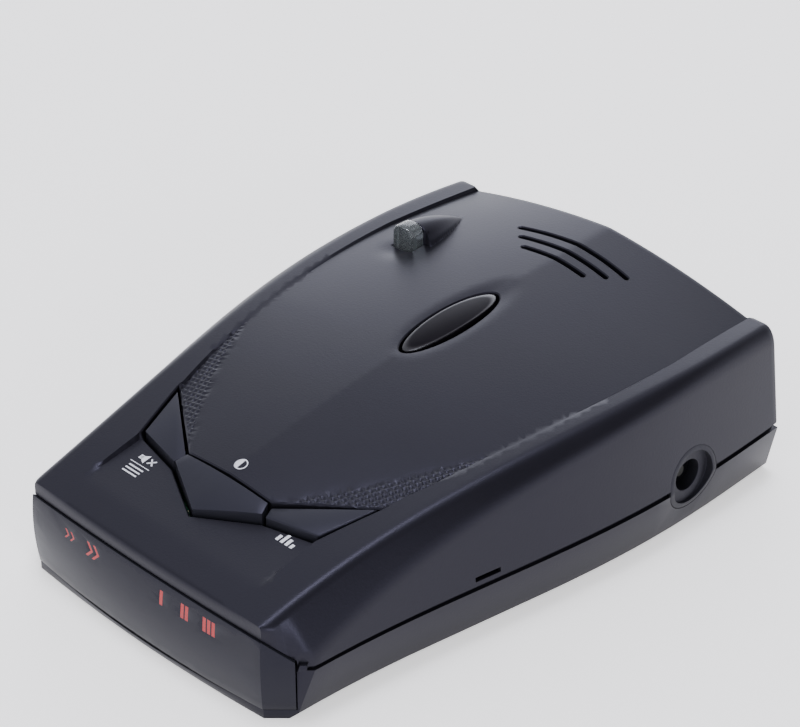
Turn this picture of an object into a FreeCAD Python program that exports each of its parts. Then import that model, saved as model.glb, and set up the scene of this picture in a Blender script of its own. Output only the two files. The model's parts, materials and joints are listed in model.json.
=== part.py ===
"""Radar detector for a windshield or dashboard, as separate pieces on one frame.

Stations along the body (Y) are counted from the display face to the windshield end while the
pieces are made, and every piece is moved by FRAME_SHIFT just before it is written, so that the
origin lies under the middle of the body. +X is the power jack's side and +Z is up.
"""
import FreeCAD, Part
import math
import os

from FreeCAD import Vector

# Driving dimensions of the case, in millimetres
LENGTH = 109.0
LENS_BOW = 0.7
FRONT_REACH = 2.15
FRAME_SHIFT = -(LENGTH - FRONT_REACH) / 2
FRONT_HALF_WIDTH = 33.2
MAX_HALF_WIDTH = 41.1
WIDEST_STATION = 84.0
REAR_TAPER = 1.0
PARTING_Z = 9.7
SIDE_DRAFT = math.radians(7.0)
WALL = 2.0
FLOOR_Z = 2.0
LOWER_TAPER = 1.9
BASE_ROUND = 1.0
CORNER_START = 27.5
CORNER_RUN = 5.5

# Rails, front panel and crown
RAIL_FRONT_Z = 17.4
RAIL_RISE = 11.8
RAIL_CREST_STATION = 90.0
RAIL_FRONT_X = 27.8
RAIL_SPREAD = 9.6
BAND_DROP_REAR = 1.9
BAND_DROP_FRONT = 5.9
PANEL_HALF_WIDTH = 21.3
PANEL_FRONT_Z = 18.0
PANEL_SLOPE = 0.165
CROWN_START = 18.0
CROWN_REACH = 12.4
CROWN_TENT = 0.354
RIDGE_FRONT_Z = 23.5
RIDGE_RISE = 9.8
SEAM = 0.3

# Sections that the case and the crown are lofted through
CASE_STATIONS = (0.0, 8.0, 18.0, 30.0, 45.0, 60.0, 75.0, 90.0, LENGTH)
CROWN_STATIONS = (14.0, 22.0, 32.0, 45.0, 60.0, 75.0, 92.0, 112.0)
CAVITY_STATIONS = (2.4, 8.0, 16.0, 26.0, 40.0, 55.0, 75.0, 90.0, LENGTH - WALL)
# Half width and height of a cutting box that is wider and taller than the whole case
WIDE = 60.0
TALL = 60.0

# Keys: corners of the right key, the centre key takes its sides from them
KEY_TIP = (0.0, 10.0)
KEY_INNER_FRONT = (10.8, 15.7)
KEY_INNER_REAR = (9.9, 18.1)
KEY_OUTER_FRONT = (21.0, 18.0)
KEY_OUTER_REAR = (24.6, 28.9)
KEY_SKIRT_Z = 18.4
KEY_TRAVEL = 0.8
SWITCH_SPOTS = ((-16.5, 20.6), (0.0, 14.8), (16.5, 20.6))
SIDE_KEY_HEIGHTS = (21.75, 21.95, 23.95)
# Arch over the centre key: station, height in the middle, height at the sides
CENTRE_KEY_ARCHES = ((8.0, 19.7, 19.5), (19.0, 23.8, 22.9))
CENTRE_KEY_ARCH_HALF = 13.0
KEY_BOARD_Z = 10.4
BOARD_THICKNESS = 1.6
SWITCH_SIZE = 6.0
SWITCH_HEIGHT = 3.4
PLUNGER_RADIUS = 1.7
PLUNGER_TOP_Z = KEY_BOARD_Z + BOARD_THICKNESS + SWITCH_HEIGHT + 1.2

# Release button, latch and bracket slot
BUTTON_STATION = 68.4
BUTTON_HALF_LENGTH = 10.9
BUTTON_HALF_WIDTH = 3.0
BUTTON_TOP_Z = 31.4
CROWN_PITCH = math.radians(4.7)
BUTTON_GAP = 0.5
BUTTON_CROWN_RADIUS = 120.0
BUTTON_FLANGE = 1.0
DISH_SIZE = (5.2, 14.2, 1.6)
DISH_Z = 31.6
BUTTON_TRAVEL = 2.0
LATCH_Z = 17.6
LATCH_SHEET = 0.8
SLOT_HALF_WIDTH = 10.25
SLOT_LOW_Z = 20.6
SLOT_HEIGHT = 2.2
SPRING_SEAT_Z = 13.4
SPRING_WIRE = 0.5
SPRING_RADIUS = 2.4
SPRING_TURNS = 3.6
GUIDE_START = 84.0
GUIDE_WALL = 1.2
TOOTH_STATION = 89.4

# Power jack
JACK_STATION = 85.5
JACK_Z = 10.4
JACK_HOLE_RADIUS = 2.9
JACK_RECESS_RADIUS = 4.95
JACK_BEZEL_RADIUS = 5.9
JACK_RECESS_FLOOR_X = 39.5
JACK_BODY_X = 37.0
JACK_DEPTH_X = 28.5
JACK_BODY_HALF = 4.5
JACK_PIN_RADIUS = 1.05
# Far enough out to pass through the side of the case
OUTSIDE_X = 60.0

# Thumbwheel, on the hidden side
WHEEL_STATION = 48.0
WHEEL_RADIUS = 9.0
WHEEL_REACH = 39.3
WHEEL_LOW_Z = 9.2
WHEEL_THICKNESS = 3.0
WHEEL_GRIPS = 28
WHEEL_GRIP_RADIUS = 0.6
WHEEL_X = -(WHEEL_REACH - WHEEL_RADIUS)
SHAFT_RADIUS = 2.0
SHAFT_LOW_Z = 7.2

# Rear laser light pipe and windshield laser lens
PIPE_X = -24.7
PIPE_STATION = 83.0
PIPE_WIDTH = 4.6
PIPE_DEPTH = 3.0
PIPE_TOP_Z = 34.0
PIPE_ARCH_RISE = 1.9
PIPE_LOW_Z = 8.8
# Crest of the hood behind the light pipe: distance behind the pipe, height over the hood's axis
HOOD_AXIS_Z = 29.9
HOOD_CREST = ((0.0, 3.9), (5.6, 2.95), (11.4, 0.5))
LASER_LENS_X = -25.5
LASER_LENS_Z = 15.0
LASER_LENS_RADIUS = 4.5
LASER_LENS_DEPTH = 3.4
LASER_LENS_CURVE = 14.0

# Boards, horn and speaker
MAIN_BOARD_Z = 5.0
HORN_START = 68.0
HORN_END = 106.0
SPEAKER_STATION = 96.5
SPEAKER_RADIUS = 9.5
SPEAKER_LOW_Z = 25.2
MAGNET_RADIUS = 4.9
# Curved sound slots over the speaker: radius about a point 40 mm from the front, half length
LOUVRES = ((60.5, 12.5), (57.5, 10.0), (54.5, 7.0))
LOUVRE_HALF_WIDTH = 0.45
LOUVRE_CENTRE = 40.0
CASE_SCREW_SPOTS = ((-27.3, 14.0), (27.3, 14.0), (-33.5, 99.0), (33.5, 99.0))
BOARD_SCREW_SPOTS = ((-19.0, 34.0), (19.0, 34.0), (-19.0, 62.0), (19.0, 62.0))
LENS_LOW_Z = 1.8
LENS_TOP_Z = 14.9
LENS_THICKNESS = 1.8
# Bulge of the front in plan, bottom to top: height, reach at the corners, further reach in the middle
LENS_FACE = ((0.8, 0.0, 1.75), (5.0, 0.5, 1.65), (9.0, 0.7, 1.4), (12.5, 0.6, 1.0), (15.8, 0.3, 0.35))
CHIN_FACE = ((0.0, 0.0, 1.2), (0.8, 0.0, 1.75), (3.0, 0.0, 1.75))
BROW_FACE = ((12.0, 0.0, 0.65), (15.0, 0.0, 0.62), (16.5, 0.0, 0.45), (17.4, 0.0, 0.02))
ICON_LOW_Z = 11.2
ICON_TALL = 2.4
BAR_WIDTH = 0.7
BAR_PITCH = 1.0
BAR_LEAN = 0.2
CHEVRONS = ((-12.9, 2.4), (-11.3, 2.4), (-18.6, 1.6), (-17.2, 1.6))
BAR_GROUPS = ((1, 5.9), (2, 11.3), (3, 16.8))
LED_SPOTS = (-17.1, -11.0, 5.9, 11.3, 16.8)


def ease(share):
    """Return a smooth step from 0 to 1."""
    return (1 - math.cos(math.pi * share)) / 2


def half_width(station):
    """Return the case's half width at the parting line."""
    if station < WIDEST_STATION:
        return FRONT_HALF_WIDTH + (MAX_HALF_WIDTH - FRONT_HALF_WIDTH) * ease(station / WIDEST_STATION)
    return MAX_HALF_WIDTH - REAR_TAPER * ((station - WIDEST_STATION) / (LENGTH - WIDEST_STATION)) ** 2


def rail_z(station):
    """Return the height of the side rails."""
    if station < RAIL_CREST_STATION:
        return RAIL_FRONT_Z + RAIL_RISE * (1 - (1 - station / RAIL_CREST_STATION) ** 2.2)
    past = (station - RAIL_CREST_STATION) / (LENGTH - RAIL_CREST_STATION)
    return RAIL_FRONT_Z + RAIL_RISE - 0.5 * past ** 2


def rail_x(station):
    """Return the half width of the rails' outer edge."""
    if station < RAIL_CREST_STATION:
        share = station / RAIL_CREST_STATION
        return RAIL_FRONT_X + RAIL_SPREAD * (0.25 * share + 0.75 * ease(share))
    past = (station - RAIL_CREST_STATION) / (LENGTH - RAIL_CREST_STATION)
    return RAIL_FRONT_X + RAIL_SPREAD - 0.8 * past ** 2


def band_z(station):
    """Return the height of the lower edge of the chamfer band outside the rails."""
    fade = max(0.0, 1 - station / 80.0)
    return rail_z(station) - BAND_DROP_REAR - BAND_DROP_FRONT * fade ** 2


def wall_x(station, height):
    """Return the half width of the drafted side wall at a height above the parting line."""
    return half_width(station) - (height - PARTING_Z) * math.tan(SIDE_DRAFT)


def crown_x(station):
    """Return the half width of the crown, which is the rails' inner edge."""
    share = (station - CROWN_START) / 70.0
    if share < 1:
        return PANEL_HALF_WIDTH + CROWN_REACH * (1 - (1 - share) ** 1.9)
    return PANEL_HALF_WIDTH + CROWN_REACH - 1.0 * (station - CROWN_START - 70.0) / 21.0


def rail_step(station):
    """Return how far the crown's foot lies below the rail beside it."""
    if station < 57.0:
        return 0.2 + 0.7 * ((57.0 - station) / 39.0) ** 2
    return 0.2 + 0.65 * (station - 57.0) / 52.0


def ridge_z(station):
    """Return the height of the crown's centre line: steep behind the keys, then nearly level."""
    run = (station - CROWN_START) / (LENGTH - CROWN_START)
    return RIDGE_FRONT_Z + RIDGE_RISE * (0.4 * run + 0.6 * (1 - (1 - run) ** 3))


def panel_z(station):
    """Return the height of the front panel."""
    return PANEL_FRONT_Z + PANEL_SLOPE * station


def box(x_span, y_span, z_span):
    """Return a box from its spans along the three axes."""
    size = (x_span[1] - x_span[0], y_span[1] - y_span[0], z_span[1] - z_span[0])
    return Part.makeBox(size[0], size[1], size[2], Vector(x_span[0], y_span[0], z_span[0]))


def rod(radius, start, length, axis=Vector(0, 0, 1)):
    """Return a cylinder."""
    return Part.makeCylinder(radius, length, start, axis)


def ring(outer, inner, start, length, axis=Vector(0, 0, 1)):
    """Return a tube."""
    return rod(outer, start, length, axis).cut(rod(inner, start, length, axis))


def fuse_all(shapes):
    """Return the union of several shapes."""
    return shapes[0].multiFuse(shapes[1:]).removeSplitter() if len(shapes) > 1 else shapes[0]


def slab(points, low, high):
    """Return a plan outline raised from one height to another."""
    corners = [Vector(x, y, low) for x, y in points]
    face = Part.Face(Part.makePolygon(corners + corners[:1]))
    return face.extrude(Vector(0, 0, high - low))


def mirrored(points):
    """Return a half outline closed by its mirror image across the middle."""
    other = [(-x, y) for x, y in reversed(points) if x > 0]
    return list(points) + other


def section(station, half_points):
    """Return a closed section wire from the points of its right half, top first."""
    points = mirrored(half_points)
    corners = [Vector(x, station, z) for x, z in points]
    return Part.makePolygon(corners + corners[:1])


def loft(wires):
    """Return a smooth closed solid through the section wires."""
    return Part.makeLoft(wires, True, False)


def twin(shape):
    """Return the shape together with its mirror image across the middle."""
    return shape.fuse(shape.mirror(Vector(0, 0, 0), Vector(1, 0, 0)))


def mirror_x(shape):
    """Return the shape's mirror image across the middle."""
    return shape.mirror(Vector(0, 0, 0), Vector(1, 0, 0))


def upper_envelope():
    """Return the outer form above the parting line, flat between the rails."""
    wires = []
    for y in CASE_STATIONS:
        low = band_z(y)
        points = [(rail_x(y), rail_z(y)), (wall_x(y, low), low), (half_width(y), PARTING_Z)]
        wires.append(section(y, points))
    return trim_corners(loft(wires)).fuse(front_bulge(BROW_FACE))


def lower_envelope():
    """Return the outer form below the parting line."""
    wires = []
    for y in CASE_STATIONS:
        width = half_width(y)
        wires.append(section(y, [(width, PARTING_Z), (width - LOWER_TAPER, BASE_ROUND),
                                 (width - LOWER_TAPER - 2 * BASE_ROUND, -BASE_ROUND)]))
    body = trim_corners(loft(wires)).fuse(front_bulge(CHIN_FACE))
    return body.common(box((-WIDE, WIDE), (-10, LENGTH + 5), (0, 20)))


def trim_corners(shape):
    """Cut the two bevelled corners beside the display."""
    end = 2 * CORNER_RUN
    corner = [(CORNER_START, -5.0), (CORNER_START, 0.0), (CORNER_START + end, end), (WIDE, -5.0)]
    return shape.cut(twin(slab(corner, -5, TALL)))


def front_arc(height, corner_reach, middle_reach, half, back):
    """Return a closed plan wire: the bulged front of the body, closed behind at a station."""
    side = middle_reach * ((half / CORNER_START) ** 2 - 1) - corner_reach
    ends = Vector(-half, side, height), Vector(half, side, height)
    front = Part.Arc(ends[0], Vector(0, -corner_reach - middle_reach, height), ends[1]).toShape()
    rest = Part.makePolygon([ends[1], Vector(half, back, height), Vector(-half, back, height), ends[0]])
    return Part.Wire([front] + rest.Edges)


def front_bulge(levels):
    """Return the part of a case that stands ahead of the line between its front corners."""
    return loft([front_arc(height, corner, middle, CORNER_START, 1.0) for height, corner, middle in levels])


def key_outline():
    """Return the right half of the outline around the three keys, front tip first."""
    return [(0.0, KEY_TIP[1] - SEAM),
            (KEY_INNER_FRONT[0], KEY_INNER_FRONT[1] - SEAM),
            (KEY_OUTER_FRONT[0] + SEAM, KEY_OUTER_FRONT[1] - SEAM),
            (KEY_OUTER_REAR[0] + SEAM, KEY_OUTER_REAR[1] + SEAM),
            (KEY_INNER_REAR[0], KEY_INNER_REAR[1] + SEAM)]


def crown_wire(y):
    """Return one closed section of the crown: an arch over each half, and a flat underside."""
    edge, top, foot = crown_x(y) + 0.3, ridge_z(y), rail_z(y) - rail_step(y)
    middle = Vector(edge / 2, y, top - (top - foot) * CROWN_TENT)
    right = Part.Arc(Vector(0, y, top), middle, Vector(edge, y, foot)).toShape()
    left = Part.Arc(Vector(-edge, y, foot), Vector(-edge / 2, y, middle.z), Vector(0, y, top)).toShape()
    low = foot - 3
    under = [Vector(edge, y, foot), Vector(edge, y, low), Vector(-edge, y, low), Vector(-edge, y, foot)]
    return Part.Wire([right] + Part.makePolygon(under).Edges + [left])


def crown():
    """Return the crown between the rails, behind the keys."""
    shape = loft([crown_wire(y) for y in CROWN_STATIONS])
    ahead = mirrored([(0.0, KEY_TIP[1] - SEAM), (KEY_INNER_FRONT[0], KEY_INNER_FRONT[1] - SEAM),
                      (KEY_OUTER_FRONT[0] + SEAM, CROWN_START), (WIDE, CROWN_START), (WIDE, -5.0)])
    behind = box((-WIDE, WIDE), (LENGTH, LENGTH + 20), (-5, TALL))
    return shape.cut(slab(ahead, 10, TALL)).cut(behind)


def rail_well():
    """Return the space between the rails that is cleared for the crown."""
    wires = []
    for y in CROWN_STATIONS:
        wires.append(section(y, [(crown_x(y), 45.0), (crown_x(y), rail_z(y) - rail_step(y) - 1.5)]))
    return loft(wires).common(box((-WIDE, WIDE), (CROWN_START, LENGTH + 20), (0, TALL)))


def panel_wedge():
    """Return the space above the front panel, between the creases of the two wings."""
    side = [(-3.0, panel_z(-3.0)), (CROWN_START, panel_z(CROWN_START)), (CROWN_START, 45.0), (-3.0, 45.0)]
    corners = [Vector(-PANEL_HALF_WIDTH, y, z) for y, z in side]
    return Part.Face(Part.makePolygon(corners + corners[:1])).extrude(Vector(2 * PANEL_HALF_WIDTH, 0, 0))


def upper_cavity():
    """Return the hollow inside the upper case."""
    wires = []
    for y in CAVITY_STATIONS:
        low = band_z(y)
        shoulder = min(rail_z(y) - rail_step(y), panel_z(y) if y < CROWN_START else 60.0)
        top = panel_z(y) if y < CROWN_START else ridge_z(y)
        inner = rail_x(y) - 4.0
        wires.append(section(y, [(0.0, top - WALL - 0.3), (inner, shoulder - WALL - 0.3),
                                 (rail_x(y) - WALL + 0.2, rail_z(y) - WALL - 1.0),
                                 (wall_x(y, low) - WALL, low - 0.8),
                                 (half_width(y) - WALL, PARTING_Z - 1.0)]))
    return loft(wires)


def lower_cavity():
    """Return the hollow inside the lower case."""
    wires = []
    for y in CAVITY_STATIONS:
        width = half_width(y) - WALL
        wires.append(section(y, [(width, PARTING_Z + 1.0), (width - LOWER_TAPER, FLOOR_Z)]))
    return loft(wires)


def plan_core(inset, low, high):
    """Return a plate that follows the parting outline, inset all round."""
    wires = []
    for y in CASE_STATIONS:
        wires.append(section(y, [(half_width(y) - inset, high), (half_width(y) - inset, low)]))
    plate = loft(wires).common(box((-WIDE, WIDE), (inset, LENGTH - inset), (low - 1, high + 1)))
    shift = inset * math.sqrt(2)
    corner = [(CORNER_START - shift, -5.0), (CORNER_START - shift, 0.0),
              (CORNER_START - shift + 2 * CORNER_RUN, 2 * CORNER_RUN), (WIDE, -5.0)]
    return plate.cut(twin(slab(corner, low - 1, high + 1)))


def seam_groove():
    """Return the shallow groove that runs round the parting line."""
    layer = box((-WIDE, WIDE), (-5, LENGTH + 5), (PARTING_Z - SEAM, PARTING_Z + SEAM))
    return layer.cut(plan_core(0.8, PARTING_Z - SEAM - 0.1, PARTING_Z + SEAM + 0.1))


def lens_block(gap):
    """Return the block that holds the display lens, open to the front, with a gap around it."""
    depth = LENS_THICKNESS + gap
    turn = CORNER_START - depth * math.tan(math.pi / 8)
    reach = 3.6 + gap
    end = (CORNER_START + reach - depth / math.sqrt(2), reach + depth / math.sqrt(2))
    outline = mirrored([(turn, depth), end, (end[0] + 12.0, end[1] - 12.0)])
    block = slab(outline, LENS_LOW_Z - gap, LENS_TOP_Z + gap)
    top = LENS_TOP_Z + gap
    side = [(0.0, top), (5.1, top - 3.6), (9.0, top - 6.4), (9.0, 40.0), (0.0, 40.0)]
    corners = [Vector(CORNER_START + along, -12, z) for along, z in side]
    wedge = Part.Face(Part.makePolygon(corners + corners[:1])).extrude(Vector(0, 24, 0))
    wedge.rotate(Vector(CORNER_START, 0, 0), Vector(0, 0, 1), 45)
    return block.cut(twin(wedge))


def bowed_corner():
    """Return the half space behind a lens corner's bowed face, as a prism along X."""
    low, high, far = LENS_LOW_Z - 0.5, LENS_TOP_Z + 0.5, 80.0
    bottom, top = Vector(-far, 0, low), Vector(-far, -LENS_BOW / 2, high)
    face_arc = Part.Arc(bottom, Vector(-far, -LENS_BOW, 9.0), top)
    back = Part.makePolygon([top, Vector(-far, 60, high), Vector(-far, 60, low), bottom])
    return Part.Face(Part.Wire([face_arc.toShape()] + back.Edges)).extrude(Vector(2 * far, 0, 0))


def lens_form():
    """Return the whole display lens before its icon windows are let in."""
    face = loft([front_arc(height, corner, middle, 45.0, 30.0) for height, corner, middle in LENS_FACE])
    corner = bowed_corner()
    corner.rotate(Vector(CORNER_START, 0, 0), Vector(0, 0, 1), 45)
    return lens_block(0.0).common(face).common(corner).common(mirror_x(corner))


def bar_icon(x, count):
    """Return a group of strength bars about a middle, slanted like the figures of a meter."""
    bars = []
    top = ICON_LOW_Z + ICON_TALL
    for index in range(count):
        left = x + BAR_PITCH * (index - count / 2) + (BAR_PITCH - BAR_WIDTH) / 2
        right = left + BAR_WIDTH
        corners = [Vector(left, -4, ICON_LOW_Z), Vector(right, -4, ICON_LOW_Z),
                   Vector(right - BAR_LEAN, -4, top), Vector(left - BAR_LEAN, -4, top)]
        bars.append(Part.Face(Part.makePolygon(corners + corners[:1])).extrude(Vector(0, 8, 0)))
    return bars


def chevron_icon(x, size):
    """Return one arrow-like stroke of the signal mark."""
    half, stroke = size / 2, size / 4
    points = [(0, -half), (stroke, -half), (stroke + half, 0), (stroke, half), (0, half), (half, 0)]
    corners = [Vector(x + along, -4, ICON_LOW_Z + ICON_TALL / 2 + up) for along, up in points]
    return Part.Face(Part.makePolygon(corners + corners[:1])).extrude(Vector(0, 8, 0))


def icon_blocks():
    """Return the blocks that cut the icon windows out of the lens."""
    blocks = [chevron_icon(x, size) for x, size in CHEVRONS]
    for count, x in BAR_GROUPS:
        blocks += bar_icon(x, count)
    return blocks


def display_lens():
    """Smoked front lens with its icon windows cut out."""
    lens = lens_form()
    for block in icon_blocks():
        lens = lens.cut(block)
    return lens


def display_icons():
    """Red windows let into the lens, flush with its face."""
    lens = lens_form()
    return Part.makeCompound([lens.common(block) for block in icon_blocks()])


def dish():
    """Return the bowl pressed into the crown around the release button."""
    ball = Part.makeSphere(1.0)
    matrix = FreeCAD.Matrix()
    matrix.scale(*DISH_SIZE)
    bowl = ball.transformGeometry(matrix)
    bowl.rotate(Vector(0, 0, 0), Vector(1, 0, 0), math.degrees(CROWN_PITCH))
    bowl.translate(Vector(0, BUTTON_STATION, DISH_Z))
    return bowl


def oval(half_length, half_wide, low, high):
    """Return an upright elliptical block at the release button's place."""
    centre = Vector(0, BUTTON_STATION, low)
    curve = Part.Ellipse(centre + Vector(0, half_length, 0), centre - Vector(half_wide, 0, 0), centre)
    return Part.Face(Part.Wire(curve.toShape())).extrude(Vector(0, 0, high - low))


def hood():
    """Return the pointed hood behind the rear light pipe, an arc turned about its own axis."""
    start = Vector(PIPE_X + 0.2, PIPE_STATION + PIPE_DEPTH / 2, HOOD_AXIS_Z)
    rise, middle, tip = [Vector(0, behind, height) for behind, height in HOOD_CREST]
    crest = Part.Arc(start + rise, start + middle, start + tip).toShape()
    rest = Part.makePolygon([start + tip, start + Vector(0, tip.y, 0), start, start + rise])
    return Part.Face(Part.Wire([crest] + rest.Edges)).revolve(start, Vector(0, 1, 0), 360)


def light_pipe_form(gap):
    """Return the arched light pipe, grown by a gap on every side."""
    half = PIPE_WIDTH / 2 + gap
    top = PIPE_TOP_Z + gap
    y = PIPE_STATION - PIPE_DEPTH / 2 - gap
    side = top - PIPE_ARCH_RISE
    right, left = Vector(PIPE_X + half, y, side), Vector(PIPE_X - half, y, side)
    arch = Part.Arc(right, Vector(PIPE_X, y, top), left)
    rest = Part.makePolygon([left, Vector(left.x, y, PIPE_LOW_Z), Vector(right.x, y, PIPE_LOW_Z), right])
    return Part.Face(Part.Wire([arch.toShape()] + rest.Edges)).extrude(Vector(0, PIPE_DEPTH + 2 * gap, 0))


def louvre(radius, half_length):
    """Return one curved sound slot above the speaker."""
    centre = Vector(0, LOUVRE_CENTRE, 20)
    slot = ring(radius + LOUVRE_HALF_WIDTH, radius - LOUVRE_HALF_WIDTH, centre, 30)
    return slot.common(box((-half_length, half_length), (LOUVRE_CENTRE, 120), (26, 40)))


def case_posts(envelope):
    """Return the screw posts that hang from the roof, cut to the case's form."""
    posts = [rod(3.2, Vector(x, y, PARTING_Z), 30) for x, y in CASE_SCREW_SPOTS]
    posts += [rod(1.6, Vector(x, BUTTON_STATION, SPRING_SEAT_Z), 30) for x in (-7.4, 7.4)]
    posts.append(ring(SPEAKER_RADIUS + 1.3, SPEAKER_RADIUS + 0.1, Vector(0, SPEAKER_STATION, 26.2), 10))
    return [post.common(envelope) for post in posts]


def side_window():
    """Return the narrow snap window above the parting line, on the jack's side."""
    return box((30, 45), (36.8, 42.8), (10.9, 12.3))


def wheel_room():
    """Return the room that the thumbwheel needs in the two walls."""
    room = 0.4
    low = Vector(WHEEL_X, WHEEL_STATION, WHEEL_LOW_Z - room)
    return rod(WHEEL_RADIUS + room, low, WHEEL_THICKNESS + 2 * room)


def jack_rod(radius, start_x, end_x):
    """Return a cylinder on the power jack's axis."""
    return rod(radius, Vector(start_x, JACK_STATION, JACK_Z), end_x - start_x, Vector(1, 0, 0))


def jack_room():
    """Return the room that the jack bezel needs in the two walls."""
    return jack_rod(JACK_BEZEL_RADIUS + 0.1, JACK_BODY_X - 0.1, OUTSIDE_X)


def display_window():
    """Return the clear space through the two cases behind the lens."""
    return box((-25.5, 25.5), (1.0, 4.0), (2.3, 14.4))


def bracket_opening():
    """Return the slot through the windshield end for the bracket's tongue."""
    return box((-SLOT_HALF_WIDTH, SLOT_HALF_WIDTH), (LENGTH - 5, LENGTH + 5),
               (SLOT_LOW_Z, SLOT_LOW_Z + SLOT_HEIGHT))


def upper_shell():
    """Return the roofed upper form before anything is cut out of it."""
    body = upper_envelope().cut(panel_wedge()).cut(rail_well())
    return body.fuse(crown()).fuse(hood())


def upper_case():
    """Upper case: rails, wings, crown, hood, posts and every opening in them."""
    solid = upper_shell().cut(dish())
    shell = solid.cut(upper_cavity())
    for post in case_posts(solid):
        shell = shell.fuse(post)
    laser_start = Vector(LASER_LENS_X, LENGTH - 5, LASER_LENS_Z)
    cutters = [slab(mirrored(key_outline()), 10, TALL), lens_block(0.15), display_window(), seam_groove(),
               side_window(), wheel_room(), jack_room(), light_pipe_form(0.12), bracket_opening(),
               oval(BUTTON_HALF_LENGTH + BUTTON_GAP, BUTTON_HALF_WIDTH + BUTTON_GAP, 24, 40),
               rod(LASER_LENS_RADIUS + 0.1, laser_start, 10, Vector(0, 1, 0))]
    cutters += [louvre(radius, half) for radius, half in LOUVRES]
    cutters += [rod(1.3, Vector(x, y, PARTING_Z - 1), 7.5) for x, y in CASE_SCREW_SPOTS]
    for cutter in cutters:
        shell = shell.cut(cutter)
    return shell


def lower_case():
    """Lower case: tray, screw posts, board posts and snap tongue."""
    solid = lower_envelope()
    tray = solid.cut(lower_cavity())
    additions = [rod(3.4, Vector(x, y, 0.5), PARTING_Z - 0.5) for x, y in CASE_SCREW_SPOTS]
    additions += [rod(2.5, Vector(x, y, 1.0), MAIN_BOARD_Z - 1.0) for x, y in BOARD_SCREW_SPOTS]
    additions.append(box((-14, 14), (99, 102), (1.0, 2.9)))
    for addition in additions:
        tray = tray.fuse(addition)
    tray = tray.fuse(box((32.6, 33.8), (37.6, 42.0), (1.0, 12.2)))
    cutters = [lens_block(0.15), display_window(), seam_groove(), wheel_room(),
               jack_room(), box((-18.2, 18.2), (39.8, 70.2), (-1, 0.35))]
    cutters += [rod(1.5, Vector(x, y, -1), 12) for x, y in CASE_SCREW_SPOTS]
    cutters += [rod(2.8, Vector(x, y, -1), 3.6) for x, y in CASE_SCREW_SPOTS]
    cutters += [rod(0.95, Vector(x, y, 2.2), 5) for x, y in BOARD_SCREW_SPOTS]
    for cutter in cutters:
        tray = tray.cut(cutter)
    return tray


def key_block(points, facet):
    """Return a key: its outline inset by the seam, raised to the facet above it."""
    outline = Part.Face(Part.makePolygon([Vector(x, y, KEY_SKIRT_Z) for x, y in points + points[:1]]))
    outline = outline.makeOffset2D(-SEAM, 2)
    return outline.extrude(Vector(0, 0, 20)).common(facet)


def plane_block(corners):
    """Return everything below the plane through three points, over the keys' area."""
    a, b, c = [Vector(*corner) for corner in corners]
    normal = (b - a).cross(c - a)
    points = []
    for x, y in ((-40, -10), (40, -10), (40, 45), (-40, 45)):
        points.append(Vector(x, y, a.z - (normal.x * (x - a.x) + normal.y * (y - a.y)) / normal.z))
    return Part.Face(Part.makePolygon(points + points[:1])).extrude(Vector(0, 0, -60))


def stem(spot):
    """Return the stem under a key, down to its switch plunger."""
    length = KEY_SKIRT_Z - PLUNGER_TOP_Z + 0.5
    return rod(PLUNGER_RADIUS - 0.2, Vector(spot[0], spot[1], PLUNGER_TOP_Z), length)


def side_key():
    """Return the right key: a facet that falls from the crown to the front panel."""
    points = [KEY_INNER_FRONT, KEY_OUTER_FRONT, KEY_OUTER_REAR, KEY_INNER_REAR]
    corners = (KEY_INNER_FRONT, KEY_OUTER_FRONT, KEY_OUTER_REAR)
    facet = plane_block([corner + (height,) for corner, height in zip(corners, SIDE_KEY_HEIGHTS)])
    return key_block(points, facet).fuse(stem(SWITCH_SPOTS[2]))


def centre_key():
    """Centre key: five-sided, arched like the crown behind it."""
    half = [KEY_TIP, KEY_INNER_FRONT, KEY_INNER_REAR]
    arches = []
    for y, top, side in CENTRE_KEY_ARCHES:
        right, left = Vector(CENTRE_KEY_ARCH_HALF, y, side), Vector(-CENTRE_KEY_ARCH_HALF, y, side)
        arch = Part.Arc(right, Vector(0, y, top), left).toShape()
        rest = Part.makePolygon([left, Vector(left.x, y, 10), Vector(right.x, y, 10), right])
        arches.append(Part.Wire([arch] + rest.Edges))
    facet = Part.makeLoft(arches, True, True)
    return key_block(mirrored(half), facet).fuse(stem(SWITCH_SPOTS[1]))


def switch_plunger(spot):
    """Return the plunger of one switch, which its key pushes down."""
    return rod(PLUNGER_RADIUS, Vector(spot[0], spot[1], PLUNGER_TOP_Z - 2.2), 2.2)


def key_switches():
    """Three tactile switch bodies, each bored for its plunger."""
    low = KEY_BOARD_Z + BOARD_THICKNESS
    half = SWITCH_SIZE / 2
    bodies = []
    for x, y in SWITCH_SPOTS:
        body = box((x - half, x + half), (y - half, y + half), (low, low + SWITCH_HEIGHT))
        bodies.append(body.cut(rod(PLUNGER_RADIUS + 0.2, Vector(x, y, PLUNGER_TOP_Z - 3.4), 6)))
    return Part.makeCompound(bodies)


def release_button():
    """Oval push button with its retaining flange and stem."""
    cap = oval(BUTTON_HALF_LENGTH, BUTTON_HALF_WIDTH, 26.5, 34)
    start = Vector(-15, BUTTON_STATION + 9.0, BUTTON_TOP_Z - BUTTON_CROWN_RADIUS)
    cap = cap.common(rod(BUTTON_CROWN_RADIUS, start, 30, Vector(1, 0, 0)))
    flange = oval(BUTTON_HALF_LENGTH + BUTTON_FLANGE, BUTTON_HALF_WIDTH + BUTTON_FLANGE + 0.1, 26.2, 27.0)
    shank = box((-2, 2), (BUTTON_STATION - 2.5, BUTTON_STATION + 2.5), (LATCH_Z + LATCH_SHEET, 26.6))
    return fuse_all([cap, flange, shank])


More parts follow.
